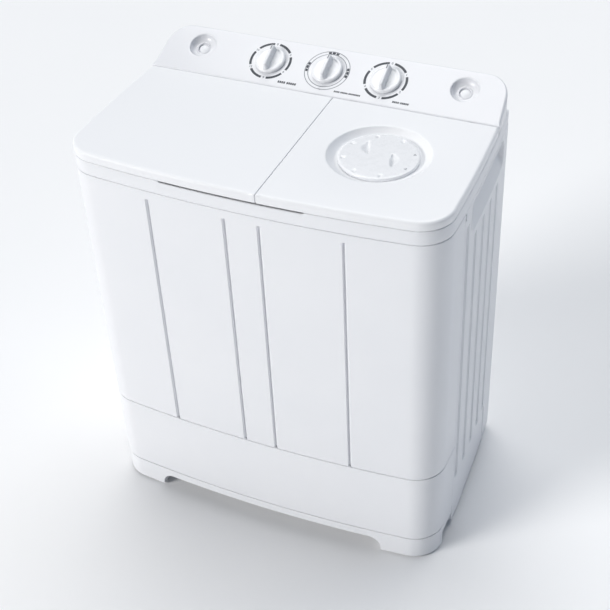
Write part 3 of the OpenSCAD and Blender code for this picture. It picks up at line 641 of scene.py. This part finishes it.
def skin(name, path, zs, depth, wall=6.0, edge=1.3, edge_high=True):
    """A moulded panel: a grid over a plan path and heights, pushed in by depth(p, z), with
    rounded upper and lower edges and returns to its inner face."""
    z0, z1 = zs[0], zs[-1]
    curve = [(edge * (1 - math.cos(a)), edge * (1 - math.sin(a)))
             for a in (math.pi / 2 * k / 4 for k in range(5))]
    prof = [(wall, z0)] + [(d, z0 + h) for d, h in reversed(curve)]
    prof += [(0, z) for z in zs if z0 + edge + 0.3 < z < z1 - edge - 0.3]
    prof += ([(d, z1 - h) for d, h in curve] if edge_high else [(0, z1)]) + [(wall, z1)]
    bm = bmesh.new()
    rows = []
    for p in path:
        row = []
        for d, z in prof:
            inset = d if d >= wall else max(d, depth(p, z) + (d if d > 0 else 0))
            row.append(bm.verts.new(((p[0] - p[2] * inset) * MM, (p[1] - p[3] * inset) * MM,
                                     z * MM)))
        rows.append(row)
    for a, b in zip(rows, rows[1:]):
        for j in range(len(prof)):
            k = (j + 1) % len(prof)
            bm.faces.new((a[j], b[j], b[k], a[k]))
    bm.faces.new(list(reversed(rows[0])))
    bm.faces.new(rows[-1])
    return new_object(name, bm, 40.0)


HEIGHT_STEP = 38.0


def heights(z0, z1, marks=()):
    """Grid heights from z0 to z1, closer together at the marks."""
    n = max(2, int((z1 - z0) / HEIGHT_STEP))
    zs = [z0 + (z1 - z0) * i / n for i in range(n + 1)]
    for m in marks:
        zs += [m - 3.2, m - 2.6, m - 1.9, m - 1.2, m - 0.6, m, m + 0.5]
    zs = sorted(z for z in zs if z0 <= z <= z1)
    out = [zs[0]]
    for z in zs[1:]:
        if z - out[-1] > 0.3:
            out.append(z)
    out[-1] = z1
    return out


FRONT_GROOVES = (-156.0, -27.5, 27.5, 156.0)
FRONT_GROOVE = (1.6, 4.4, 4.8, 1.3)
GROOVE_TOP = RIM_BOTTOM - 15
WRAP_Y = high("plinth_panel").y
SIDE_GROOVES = [FRONT_Y + 125 + 43 * i for i in range(5)]
SIDE_TOPS = (622.0, 582.0, 582.0, 582.0, 582.0)
SIDE_GROOVE = (7.4, 7.4, 9.2, 3.0)
SIDE_GROOVE_LOW = 105.0
NOTCH_Z = (637, 649)
SIDE_BOTTOM = low("right_side_panel").z


def front_path(extra=()):
    xs = [abs(g) + s for g in extra for s in GROOVE_STEPS]
    half = right_wall(WRAP_Y, xs=xs)
    return dedupe(flip(half) + half)


def build_front():
    def depth(p, z):
        return max(groove_depth(p[0] - g, *FRONT_GROOVE) for g in FRONT_GROOVES) * end_mask(
            z, -math.inf, GROOVE_TOP, 2.6)
    ob = skin("shell_front", front_path(FRONT_GROOVES),
              heights(PLINTH_TOP, RIM_BOTTOM - 1, [GROOVE_TOP]), depth)
    finalise(ob, "cabinet", M_SHELL, ["front_panel"])
    ob = skin("shell_plinth", front_path(), heights(BASE_TOP + 2.2, PLINTH_TOP - 2),
              lambda p, z: 0.0)
    finalise(ob, "cabinet", M_SHELL, ["plinth_panel"])


CUP_Y0, CUP_Y1 = low("right_handle_cup").y, high("right_handle_cup").y
CUP_Z0, CUP_Z1 = low("right_handle_cup").z, high("right_handle_cup").z
PAD_Y0, PAD_Y1, PAD_Z = FRONT_Y + 175, FRONT_Y + 312, 100.0
CUP_R = 13.0
CUP_SHAPE = ((-1.6, -0.02, 0), (-1.4, -0.35, 0), (-0.8, -0.55, 0), (0.2, -0.35, 0),
             (1.0, 0.3, 0.1), (1.7, 1.5, 1.6), (2.5, 3.4, 4.8), (3.4, 5.6, 8.6),
             (4.4, 8.0, 13.0), (5.4, 10.0, 16.8), (6.6, 11.3, 19.2), (8.2, 12.0, 20.2),
             (10.0, 12.2, 19.6))


def cup_loop(margin, depth, lift=0.0):
    """A rounded rectangle on the side wall, drawn in by margin, pushed in by depth, and with
    its lower edge raised by lift."""
    y0, y1 = CUP_Y0 + margin, CUP_Y1 - margin
    z0, z1 = CUP_Z0 + margin + lift, CUP_Z1 - margin
    r = min(CUP_R, max(3.0, CUP_R - margin))
    r = min(r, (z1 - z0) / 2 - 0.2)
    pts = round_path(rect(y0, z0, y1, z1), r, 8)
    dense = []
    for p, q in zip(pts, pts[1:] + pts[:1]):
        k = max(1, int(math.hypot(q[0] - p[0], q[1] - p[1]) / 12))
        for s in range(k):
            dense.append((p[0] + (q[0] - p[0]) * s / k, p[1] + (q[1] - p[1]) * s / k))
    return [(side_x(y) - depth, y, z) for y, z in dense]


def build_side():
    """The right side's ribbed panel and its hand hold."""
    ys = [g + s for g in SIDE_GROOVES for s in GROOVE_STEPS]
    ys += [WRAP_Y + k for k in (2.0, 2.5, 5.0, 7.5, 8.0)]
    ys += [PAD_Y0 - 1.2, PAD_Y0, PAD_Y0 + 1.2, PAD_Y1 - 1.2, PAD_Y1, PAD_Y1 + 1.2]
    whole = right_wall(PANEL_BACK - 3, ys=ys)
    path = []
    for gap in (0.5, 0.6, 0.8, 1.2):
        a = math.asin((WRAP_Y + gap - SIDE_C.y) / SIDE_R)
        inset = (1.2 - gap) * 1.3
        path.append((SIDE_C.x + (SIDE_R - inset) * math.cos(a), WRAP_Y + gap, math.cos(a),
                     math.sin(a)))
    path += [p for p in whole if p[1] > WRAP_Y + 1.3 and p[0] > 150]

    def depth(p, z):
        d = 0.0
        for g, top in zip(SIDE_GROOVES, SIDE_TOPS):
            d = max(d, groove_depth(p[1] - g, *SIDE_GROOVE)
                    * end_mask(z, SIDE_GROOVE_LOW, top, 5.0))
        if abs(p[1] - WRAP_Y - 5) < 2.6 and NOTCH_Z[0] < z < NOTCH_Z[1]:
            d = 7.0
        if z < PAD_Z:
            t = min((p[1] - PAD_Y0), (PAD_Y1 - p[1])) / 1.2
            d = max(d, 1.1 * min(1.0, max(0.0, t)) * min(1.0, (PAD_Z - z) / 1.5))
        return d
    zs = heights(SIDE_BOTTOM, RIM_BOTTOM - 0.01, [649.5, 639.0, 622.0, 582.0, 108.0, PAD_Z + 1.2])
    panel = skin("shell_side_right", path, zs, depth, wall=10.0, edge=1.0, edge_high=False)
    cut(panel, rings("cutter", [cup_loop(0.6, -8), cup_loop(0.6, 12)]), 40)
    cup = rings("shell_cup_right", [resample(cup_loop(*row), 96) for row in CUP_SHAPE],
                cap_first=False, deg=50)
    return panel, cup


def resample(loop, n):
    """n points evenly spaced by length round a closed 3-D loop, from its first point."""
    pts = [Vector(p) for p in loop] + [Vector(loop[0])]
    acc = [0.0]
    for a, b in zip(pts, pts[1:]):
        acc.append(acc[-1] + (b - a).length)
    out, j = [], 0
    for k in range(n):
        t = acc[-1] * k / n
        while acc[j + 1] < t:
            j += 1
        f = (t - acc[j]) / max(1e-9, acc[j + 1] - acc[j])
        out.append(tuple(pts[j].lerp(pts[j + 1], f)))
    return out


def mirrored(ob, name):
    me = ob.data.copy()
    me.transform(Matrix.Scale(-1, 4, (1, 0, 0)))
    me.flip_normals()
    return link(bpy.data.objects.new(name, me))


def build_sides():
    for piece, node in zip(build_side(), ("side_panel", "handle_cup")):
        other = mirrored(piece, piece.name.replace("right", "left"))
        finalise(piece, "cabinet", M_SHELL, ["right_" + node])
        finalise(other, "cabinet", M_SHELL, ["left_" + node])


# ---- top frame -----------------------------------------------------------------------------
DECK_Z = RIM_TOP - 11
FINGER = (-132.0, 102.0)
FINGER_GAP = 2.2
SPIN_MOUTH_R = 112


def closed_plan(y_back, xs, corner):
    """The body's whole outline with normals, closed by a straight back."""
    half = right_wall(y_back - corner, xs=xs)
    x_c = side_x(y_back) - corner
    half += arc((x_c, y_back - corner), corner, 0.02, math.pi / 2, 5)
    n = 12
    half += [(x_c * (1 - i / n), y_back, 0, 1) for i in range(1, n)]
    half.append((0, y_back, 0, 1))
    return dedupe(half + flip(half))[:-1]


def build_top_frame():
    xs = [abs(f) + s for f in FINGER for s in (-6, -4, -2, -1, 0, 1, 2, 4)]
    path = closed_plan(PANEL_BACK, xs=xs, corner=4.2)
    z0, z1 = RIM_BOTTOM, RIM_TOP - 0.3

    def prof(p):
        slot = 0.0
        if p[1] < FRONT_Y + 30:
            slot = (FINGER_GAP * smooth_step((p[0] - FINGER[0]) / 5)
                    * smooth_step((FINGER[1] - p[0]) / 5))
        top = z1 - slot
        return round_path([(3.5, z0), (0, z0), (0, top), (3.5, top)], [0, 1.3, 1.2, 0.8], 3)
    rim = sweep("shell_rim", path, prof)
    wx0, wx1 = low("wash_tub").x + 11, high("wash_tub").x - 11
    wy0, wy1 = low("wash_tub").y + 11, high("wash_tub").y - 11
    opening = round_path(rect(wx0, wy0, wx1, wy1), 38, 12)
    ring = circle(SPIN.x, SPIN.y, SPIN_MOUTH_R, 96)
    back = rect(-262, CONSOLE_Y + 3, 262, PANEL_BACK - 12)
    inner = [(p[0] - 3.4 * p[2], p[1] - 3.4 * p[3]) for p in path]
    deck = plate("deck", [inner, opening, ring, back], DECK_Z - 4, DECK_Z)
    bead = round_path([(-4.2, DECK_Z - 0.2), (-4.2, DECK_Z + 2.2), (0.6, DECK_Z + 2.2),
                           (0.6, DECK_Z - 3.8), (-0.8, DECK_Z - 3.8), (-0.8, DECK_Z - 0.2)],
                          [0, 1.8, 2.0, 0.3, 0.3, 0.2], 4)
    wash_bead = sweep("wash_bead", with_normals(opening), bead)
    spin_bead = sweep("spin_bead", with_normals(ring), bead)
    ears = []
    r = 2.7
    half_turn = [math.pi * k / 10 for k in range(11)]
    for x in WASH_EARS + SPIN_EARS:
        outline = [(HINGE_Y + r, DECK_Z - 0.5)]
        outline += [(HINGE_Y + r * math.cos(a), HINGE_Z + r * math.sin(a)) for a in half_turn]
        outline += [(HINGE_Y - r, DECK_Z - 0.5)]
        loops = []
        for dx, size in ((-4, 0.86), (-3.3, 1.0), (3.3, 1.0), (4, 0.86)):
            loops.append([(x + dx, HINGE_Y + (y - HINGE_Y) * size,
                           HINGE_Z + (z - HINGE_Z) * size if z > DECK_Z else z)
                          for y, z in outline])
        ears.append(rings("ear", loops))
    frame_ob = join("shell_top_frame", [rim, deck, wash_bead, spin_bead] + ears)
    finish_mesh(frame_ob, 38)
    finalise(frame_ob, "cabinet", M_SHELL, ["top_frame"])


# ---- lids ----------------------------------------------------------------------------------
def lid_outline(x0, x1):
    """Plan outline of a lid: the body's outline between x0 and x1, closed by a straight back."""
    whole = right_wall(LID_REAR)
    whole = dedupe(flip(whole) + whole)
    pts = [(p[0], p[1]) for p in whole if x0 < p[0] < x1]
    if x0 > -200:
        pts = [(x0, LID_REAR), (x0, face_y(x0))] + pts
        radii = [1.2, 1.2] + [0] * (len(pts) - 3) + [2.0]
    else:
        pts = pts + [(x1, face_y(x1)), (x1, LID_REAR)]
        radii = [2.0] + [0] * (len(pts) - 3) + [1.2, 1.2]
    return rounded(pts, radii)


LID_LOW = low("wash_lid").z
LID_REAR = LID_BACK
TOP_R = 4.6
RIB_HALF = 0.9
NO_MOVE = Matrix.Identity(4)


def lid_loops(outline):
    """Loops of 3-D points from under the lid's top, down its wall and back over its edge."""
    rows = []
    for p in outline:
        outer = abs(p[0]) > side_x(p[1]) - 8 and p[1] < LID_REAR - 1.5
        rear = p[1] > HINGE_Y - 12 and not outer
        zb = HINGE_Z - 4 if rear else LID_LOW + (0.5 if outer and p[1] > 0 else 0)
        split = 1 - smooth_step((abs(p[0] - SPLIT) - 2.5) / 6)
        tr = 1.5 if p[1] > LID_REAR - 1.2 else TOP_R * (1 - split) + 1.0 * split
        out = [(3.0, LID_TOP - 3.0), (3.0, zb + 1.0), (2.4, zb + 0.25), (1.6, zb),
               (0.9, zb + 0.2), (0.25, zb + 0.7), (0, zb + 1.4)]
        steps = 7
        for k in range(steps + 1):
            a = math.pi / 2 * k / steps
            out.append((tr * (1 - math.cos(a)), LID_TOP - tr * (1 - math.sin(a))))
        out.append((tr + 3.0, LID_TOP))
        rows.append([(*inset_point(p, i), z) for i, z in out])
    return [list(loop) for loop in zip(*rows)]


def cut_notches(ob, ears, deg):
    """Room in a lid's rear edge for the hinge ears, under its top."""
    for x in ears:
        base = rect(x - 5, HINGE_Y - 5.5, x + 5, LID_REAR + 4)
        cut(ob, rings("cutter", placed(NO_MOVE, base, (LID_LOW - 3, LID_TOP - 0.8))), deg)


def underside_ribs(x0, x1, y0, y1, skip=None):
    """Stiffening ribs under a lid, left out where they would cross skip = (x, y, reach)."""
    bases = []
    for k in range(1, 4):
        x = x0 + (x1 - x0) * k / 4
        if not (skip and abs(x - skip[0]) < skip[2]):
            bases.append(rect(x - RIB_HALF, y0, x + RIB_HALF, y1))
    for k in range(1, 3):
        y = y0 + (y1 - y0) * k / 3
        if not (skip and abs(y - skip[1]) < skip[2]):
            bases.append(rect(x0, y - RIB_HALF, x1, y + RIB_HALF))
    return [rings("rib", placed(NO_MOVE, base, (LID_TOP - 8, LID_TOP - 2.6))) for base in bases]


DISH_R, FLOOR_R, DIAL_R = 75.0, 64.0, 60.0
DISH_Z = LID_TOP - 9


def build_lids():
    wash = rings("lid_wash", lid_loops(lid_outline(-HALF_W - 1, SPLIT - 0.45)), deg=34)
    cut_notches(wash, WASH_EARS, 34)
    ribs = underside_ribs(-255, 10, FRONT_Y + 30, 70)
    wash = join("lid_wash_shell", [wash] + ribs)
    finish_mesh(wash, 34)
    finalise(wash, "wash_lid", M_LID, ["wash_lid"])

    lip = DISH_R + 4.2
    under = [(5.3, -13), (5.3, -12), (FLOOR_R + 2, -12), (FLOOR_R + 4, -11.2),
             (DISH_R + 2.4, -4.5), (DISH_R + 4, -3.0)]
    mouth = [(lip, 0)]
    for k in range(1, 7):
        a = math.radians(10 * k * 0.95)
        mouth.append((lip - 4.5 * math.sin(a), -4.5 * (1 - math.cos(a))))
    mouth += [(FLOOR_R + 3.4, -7.4), (FLOOR_R + 2.0, -8.4), (FLOOR_R + 0.4, -8.9),
              (FLOOR_R - 1.5, -9.0), (5.3, -9.0), (5.3, -13)]
    under, mouth = ([[(x, y, LID_TOP + z) for x, y in circle(SPIN.x, SPIN.y, r, 120)]
                     for r, z in shape] for shape in (under, mouth))
    walls = lid_loops(lid_outline(SPLIT + 0.45, HALF_W + 1))
    spin = filled_rings("lid_spin", under, walls, mouth, 30)
    cut_notches(spin, SPIN_EARS, 30)
    ribs = underside_ribs(SPLIT + 20, 270, FRONT_Y + 30, 70, (SPIN.x, SPIN.y, 78))
    spin = join("lid_spin_shell", [spin] + ribs)
    finish_mesh(spin, 30)
    finalise(spin, "spin_lid", M_LID, ["spin_lid"])


def leaf(x, y, cx, cy, ang, half_len, half_wid):
    """Depth, 0 to 1, of a leaf shaped finger well with one steep side."""
    dx, dy = x - cx, y - cy
    u = dx * math.cos(ang) + dy * math.sin(ang)
    v = -dx * math.sin(ang) + dy * math.cos(ang)
    t = 1 - (u / half_len) ** 2
    if t <= 0:
        return 0.0
    w = half_wid * t
    s = 1 + v / (w * 0.35 + 0.3) if v < 0 else 1 - v / (w * 1.9 + 0.3)
    return smooth_step(s) * t ** 0.6


WELL = (18, 6.5)
WELL_TURN = math.radians(106)
DIAL_N = 168


def dial_height(x, y):
    """The dial's face: a low crown, two finger wells and six short slots near its rim."""
    d = 3.4 * max(leaf(x, y, -23, 17, WELL_TURN, *WELL), leaf(-x, -y, -21, 5, WELL_TURN, *WELL))
    for k in range(1, 7):
        a = math.radians(22.5 + 45 * k)
        u = x * math.cos(a) + y * math.sin(a)
        v = -x * math.sin(a) + y * math.cos(a)
        if 48.5 < u < 55.5 and abs(v) < 2.2:
            d = max(d, 1.6 * smooth_step((2.2 - abs(v)) / 1.2)
                    * smooth_step((3.5 - abs(u - 52)) / 1.2))
    return 0.5 * (1 - (math.hypot(x, y) / DIAL_R) ** 2) - d


def build_dial():
    z_top = DISH_Z + 5
    bm = bmesh.new()
    rows = []
    radii = [1.5 + 1.3 * i for i in range(45)]
    for r in radii:
        if r < DIAL_R - 2.4:
            rows.append([(x, y, dial_height(x, y)) for x, y in circle(0, 0, r, DIAL_N)])
    for dr, dz in ((2.4, 0.0), (1.6, -0.1), (0.8, -0.45), (0.2, -1.1), (0.0, -1.9), (0.0, -4.8)):
        rows.append([(x, y, dz) for x, y in circle(0, 0, DIAL_R - dr, DIAL_N)])

    def vert(x, y, h):
        return bm.verts.new(((SPIN.x + x) * MM, (SPIN.y + y) * MM, (z_top + h) * MM))
    rows = [[vert(*p) for p in row] for row in rows]
    centre = vert(0, 0, dial_height(0, 0))
    for k in range(DIAL_N):
        bm.faces.new((centre, rows[0][k], rows[0][(k + 1) % DIAL_N]))
    for a, b in zip(rows, rows[1:]):
        for k in range(DIAL_N):
            j = (k + 1) % DIAL_N
            bm.faces.new((a[k], b[k], b[j], a[j]))
    bm.faces.new(list(reversed(rows[-1])))
    top = new_object("dial_top", bm, 50)
    stem = lathe("dial_stem", [(0, -4), (5, -4), (5, -9.2), (8, -9.3), (8, -10.8), (7, -11),
                               (0, -11)], (SPIN.x, SPIN.y, z_top), 40)
    ob = join("dial_rinse", [top, stem])
    finish_mesh(ob, 50)
    finalise(ob, "rinse_dial", M_KNOB, ["rinse_dial"])
    marks = []
    for a in (22.5, -22.5):
        for off, length in ((-1.3, 4.6), (1.3, 3.0)):
            turn = Matrix.Translation((SPIN.x, SPIN.y, z_top)) @ Matrix.Rotation(
                math.radians(a), 4, "Z") @ Matrix.Translation((51.5, off, 0))
            pts = round_path(rect(-length / 2, -0.6, length / 2, 0.6), 0.4, 3)
            marks.append(rings("mark", placed(turn, pts, (-0.3, 0.28))))
    finalise(join("dial_marks", marks), "rinse_dial", M_PRINT_GREY)


# ---- console -------------------------------------------------------------------------------
NORMAL = Vector((0, -math.sin(SLOPE), math.cos(SLOPE)))
ALONG = Vector((0, math.cos(SLOPE), math.sin(SLOPE)))
PLANE = Matrix(((1, 0, 0, 0), (0, ALONG.y, NORMAL.y, CONSOLE_Y),
                (0, ALONG.z, NORMAL.z, LID_TOP), (0, 0, 0, 1)))


def plane_z(y):
    return LID_TOP + (y - CONSOLE_Y) * math.tan(SLOPE)


def on_console(x, along, up):
    """A point at x and a way up the console's slope, lifted off it."""
    return PLANE @ Vector((x, along, up))


def console_outline():
    """Plan outline of the console with normals: the sides' arcs, two big rear corners."""
    r = 38.0
    cy = BACK_Y - r
    cx = SIDE_C.x + math.sqrt((SIDE_R - r) ** 2 - (cy - SIDE_C.y) ** 2)
    a0 = math.asin((cy - SIDE_C.y) / (SIDE_R - r))
    a1 = math.asin((CONSOLE_Y - SIDE_C.y) / SIDE_R)
    half = [(p[0], p[1]) for p in arc(SIDE_C, SIDE_R, a1, a0, 6)]
    half += [(p[0], p[1]) for p in arc((cx, cy), r, a0, math.pi / 2, 14)]
    back = [(cx * (1 - i / 14), BACK_Y) for i in range(1, 15)]
    right = dedupe(half + back)
    left = [(-x, y) for x, y in reversed(right)]
    front = [(side_x(CONSOLE_Y) * (-1 + 2 * i / 28), CONSOLE_Y) for i in range(1, 28)]
    pts = dedupe(right + left[1:] + front)
    return with_normals(pts)


def build_console():
    path = console_outline()

    def prof(p):
        front = abs(p[1] - CONSOLE_Y) < 0.5
        r = 1.4 if front else 4.2
        out = [(0.9, RIM_TOP), (0.2, RIM_TOP + 0.3), (0, RIM_TOP + 1.0)]
        for k in range(7):
            a = math.pi / 2 * k / 6
            i = r * (1 - math.cos(a))
            y = p[1] - p[3] * i
            out.append((i, plane_z(y) - r * (1 - math.sin(a))))
        y = p[1] - p[3] * (r + 1.5)
        out.append((r + 1.5, plane_z(y)))
        return out
    bm = bmesh.new()
    rows = [[bm.verts.new(((p[0] - p[2] * i) * MM, (p[1] - p[3] * i) * MM, z * MM))
             for i, z in prof(p)] for p in path]
    edges = []
    for a, b in zip(rows, rows[1:] + rows[:1]):
        for j in range(len(a) - 1):
            bm.faces.new((a[j], b[j], b[j + 1], a[j + 1]))
        edges.append(bm.edges.get((a[-1], b[-1])) or bm.edges.new((a[-1], b[-1])))
    shape = [(25.5, 0), (24.2, 0), (23.3, -0.06), (22.5, -0.3), (21.9, -0.8), (21.5, -1.5),
             (21.2, -2.6), (21.2, -14)]
    n = 72
    for s in (-1, 1):
        turned = [[bm.verts.new(on_console(s * PORT_X + r * math.sin(2 * math.pi * k / n),
                                           PORT_ALONG + r * math.cos(2 * math.pi * k / n), h)
                                * MM) for r, h in shape] for k in range(n)]
        for a, b in zip(turned, turned[1:] + turned[:1]):
            for j in range(len(a) - 1):
                bm.faces.new((a[j], b[j], b[j + 1], a[j + 1]))
            edges.append(bm.edges.get((a[0], b[0])))
    bmesh.ops.triangle_fill(bm, edges=edges, use_beauty=True, use_dissolve=False)
    ob = new_object("shell_console", bm, 34)
    finalise(ob, "cabinet", M_CONSOLE_PAINTED_SHADE, ["console_housing"])


def console_place(x, along):
    return Matrix.Translation((x, 0, 0)) @ PLANE @ Matrix.Translation((0, along, 0))


def build_inlets():
    for s, kind in ((-1, "wash"), (1, "spin")):
        place = console_place(s * PORT_X, PORT_ALONG)
        prof = [(21.0, -10), (21.1, -2.4), (20.6, -3.6), (19.4, -5.4), (17.2, -7.2),
                (14.2, -8.6), (12.4, -9.0), (11.3, -8.6), (10.3, -7.6), (9.8, -8.0),
                (9.5, -9.0), (9.5, -26), (12.8, -26), (12.8, -11)]
        ob = lathe("port_" + kind, prof, seg=72, place=place, deg=40)
        finalise(ob, "cabinet", M_CONSOLE_PAINTED_SHADE, [kind + "_inlet_port"])
        prof = [(9.4, -14), (9.4, -11.2), (7, -9.6), (4, -8.7), (1.2, -8.4), (0, -8.4)]
        ob = lathe("strainer_" + kind, prof, seg=48, place=place, deg=40)
        finalise(ob, "cabinet", M_SHELL)


def build_knob(name, x, body):
    place = console_place(x, KNOB_ALONG)
    prof = [(0, -16), (3, -16), (3, 0.6), (24.2, 0.6), (24.8, 0.9), (25.0, 1.5), (25.0, 3.0),
            (24.7, 3.9), (24.0, 4.7), (23.0, 5.3), (21.6, 5.7), (20.6, 5.75), (19.9, 5.5),
            (19.2, 5.2), (18.4, 5.15), (12, 5.6), (6, 5.8), (0, 5.85)]
    disc = lathe("disc", prof, seg=96, place=place, deg=40)
    loops = []
    for h, w, l, r in ((3.0, 5.2, 22.6, 4.6), (5.6, 4.9, 22.4, 4.4), (9.0, 4.4, 21.8, 4.0),
                       (12.5, 3.9, 21.2, 3.6), (15.2, 3.4, 20.6, 3.2), (16.4, 2.8, 20.0, 2.7),
                       (17.0, 2.0, 19.0, 1.95), (17.2, 1.0, 17.8, 0.95)):
        loop = []
        for px, py in round_path(rect(-w, -l, w, l), r, 6):
            end = max(0.0, (abs(py) - 12) / 12)
            loop.append(tuple(place @ Vector((px, py, h - 0.9 * end * (h > 6)))))
        loops.append(loop)
    bar = rings("bar", loops, deg=40)
    ob = join(name, [disc, bar])
    finish_mesh(ob, 40)
    finalise(ob, body, M_KNOB, [body])
    line = rings(name + "_pointer", placed(place, rect(-0.8, 11, 0.8, 18.5), (16.4, 17.25)))
    finalise(line, body, M_PRINT_GREY)


PRINT_Z = (-0.1, 0.12)


def ring_segment(centre_x, r0, r1, a0, a1):
    """A printed arc round a knob, between two radii and two angles from its top."""
    n = max(3, int(abs(a1 - a0) / math.radians(4)))
    bm = bmesh.new()
    rows = []
    for k in range(n + 1):
        a = a0 + (a1 - a0) * k / n
        row = []
        for r, h in rect(r0, PRINT_Z[0], r1, PRINT_Z[1]):
            v = on_console(centre_x + r * math.sin(a), KNOB_ALONG + r * math.cos(a), h)
            row.append(bm.verts.new(v * MM))
        rows.append(row)
    for a, b in zip(rows, rows[1:]):
        for j in range(4):
            bm.faces.new((a[j], a[(j + 1) % 4], b[(j + 1) % 4], b[j]))
    bm.faces.new(rows[0])
    bm.faces.new(list(reversed(rows[-1])))
    return new_object("seg", bm)


DIGIT_SIZE, DIGIT_UP, DIGIT_DEPTH = 5.6 * MM, 0.02 * MM, 0.05 * MM
DIGIT_BOLD = 0.00016


def digits(body, x, along):
    """A plain printed number, as a mesh lying on the console."""
    cu = bpy.data.curves.new("txt", "FONT")
    cu.body = body
    cu.size = DIGIT_SIZE
    cu.align_x, cu.align_y = "CENTER", "CENTER"
    cu.extrude = DIGIT_DEPTH
    cu.offset = DIGIT_BOLD
    cu.resolution_u = 3
    ob = link(bpy.data.objects.new("txt", cu))
    place = PLANE.copy()
    place.translation *= MM
    ob.matrix_world = (Matrix.Translation((x * MM, 0, 0)) @ place
                       @ Matrix.Translation((0, along * MM, DIGIT_UP)))
    bpy.context.view_layer.update()
    dg = bpy.context.evaluated_depsgraph_get()
    me = bpy.data.meshes.new_from_object(ob.evaluated_get(dg))
    me.transform(ob.matrix_world)
    out = link(bpy.data.objects.new("txt_mesh", me))
    bpy.data.objects.remove(ob)
    return out


def dashes(x, along, groups, length, tall):
    """Plain printed bars in groups, where a label would sit."""
    gap, space = length * 0.28, length * 1.0
    total = sum(n * length + (n - 1) * gap for n in groups) + space * (len(groups) - 1)
    at, out = x - total / 2, []
    for n in groups:
        for k in range(n):
            x0 = at + k * (length + gap)
            pts = round_path(rect(x0, -tall / 2, x0 + length, tall / 2), 0.35, 3)
            pts = [(px, along + py) for px, py in pts]
            out.append(rings("dash", placed(PLANE, pts, PRINT_Z)))
        at += n * length + (n - 1) * gap + space
    return out


TIMER_LABELS = ((-KNOB_X, ("0", "3", "6", "9", "12", "15")),
                (KNOB_X, ("0", "1", "2", "3", "4", "5")))
DIGIT_R = 33.2


def build_prints():
    """Rings, numbers and bars printed on the console."""
    dark, grey = [], []
    for cx, labels in TIMER_LABELS:
        for k, label in enumerate(labels):
            mid = math.radians(60 * k + 30)
            half = math.radians(22.5)
            dark.append(ring_segment(cx, 31.2, 35.2, mid - half, mid + half))
            a = math.radians(60 * k)
            grey.append(digits(label, cx + DIGIT_R * math.sin(a),
                               KNOB_ALONG + DIGIT_R * math.cos(a)))
    for r0, r1 in ((30.6, 31.7), (36.0, 37.1)):
        grey.append(ring_segment(0, r0, r1, -math.pi, math.pi))
    for a in (0, 88, -88):
        for d in (-11, 0, 11):
            m = math.radians(a + d)
            h = math.radians(4.2 if d else 4.6)
            dark.append(ring_segment(0, 31.95, 35.7, m - h, m + h))
    dark += dashes(-56, 10.0, (4, 5), 2.6, 4.0)
    dark += dashes(46, 10.2, (4, 5, 8), 1.9, 3.0)
    dark += dashes(134, 10.0, (4, 5), 2.2, 3.4)
    finalise(join("print_dark", dark), "cabinet", M_PRINT)
    finalise(join("print_grey", grey), "cabinet", M_PRINT_GREY)


# ---- inner parts carried over from the CAD -------------------------------------------------
WELD_GAP = 0.00002
FLAT_ANGLE, EDGE_ANGLE = math.radians(0.3), math.radians(32)
BEVEL = 0.5 * MM


def dress(node):
    """Softens the edges of a CAD node that keeps its own mesh."""
    ob = NODES[node]
    for p in ob.data.polygons:
        p.use_smooth = True
    weld = ob.modifiers.new("weld", "WELD")
    weld.merge_threshold = WELD_GAP
    flats = ob.modifiers.new("flats", "DECIMATE")
    flats.decimate_type = "DISSOLVE"
    flats.angle_limit = FLAT_ANGLE
    bevel = ob.modifiers.new("bevel", "BEVEL")
    bevel.width = BEVEL
    bevel.segments = 2
    bevel.limit_method = "ANGLE"
    bevel.angle_limit = EDGE_ANGLE
    bevel.harden_normals = False
    normals = ob.modifiers.new("normals", "WEIGHTED_NORMAL")
    normals.keep_sharp = False
    normals.weight = 80


build_front()
build_sides()
build_top_frame()
build_lids()
build_dial()
build_console()
build_inlets()
for name, x, body in (("knob_wash_timer", -KNOB_X, "wash_timer_knob"),
                      ("knob_selector", 0, "selector_knob"),
                      ("knob_spin_timer", KNOB_X, "spin_timer_knob")):
    build_knob(name, x, body)
build_prints()
for part in frame["record"]["subparts"]:
    if not NODES[part["node"]].hide_render:
        dress(part["node"])
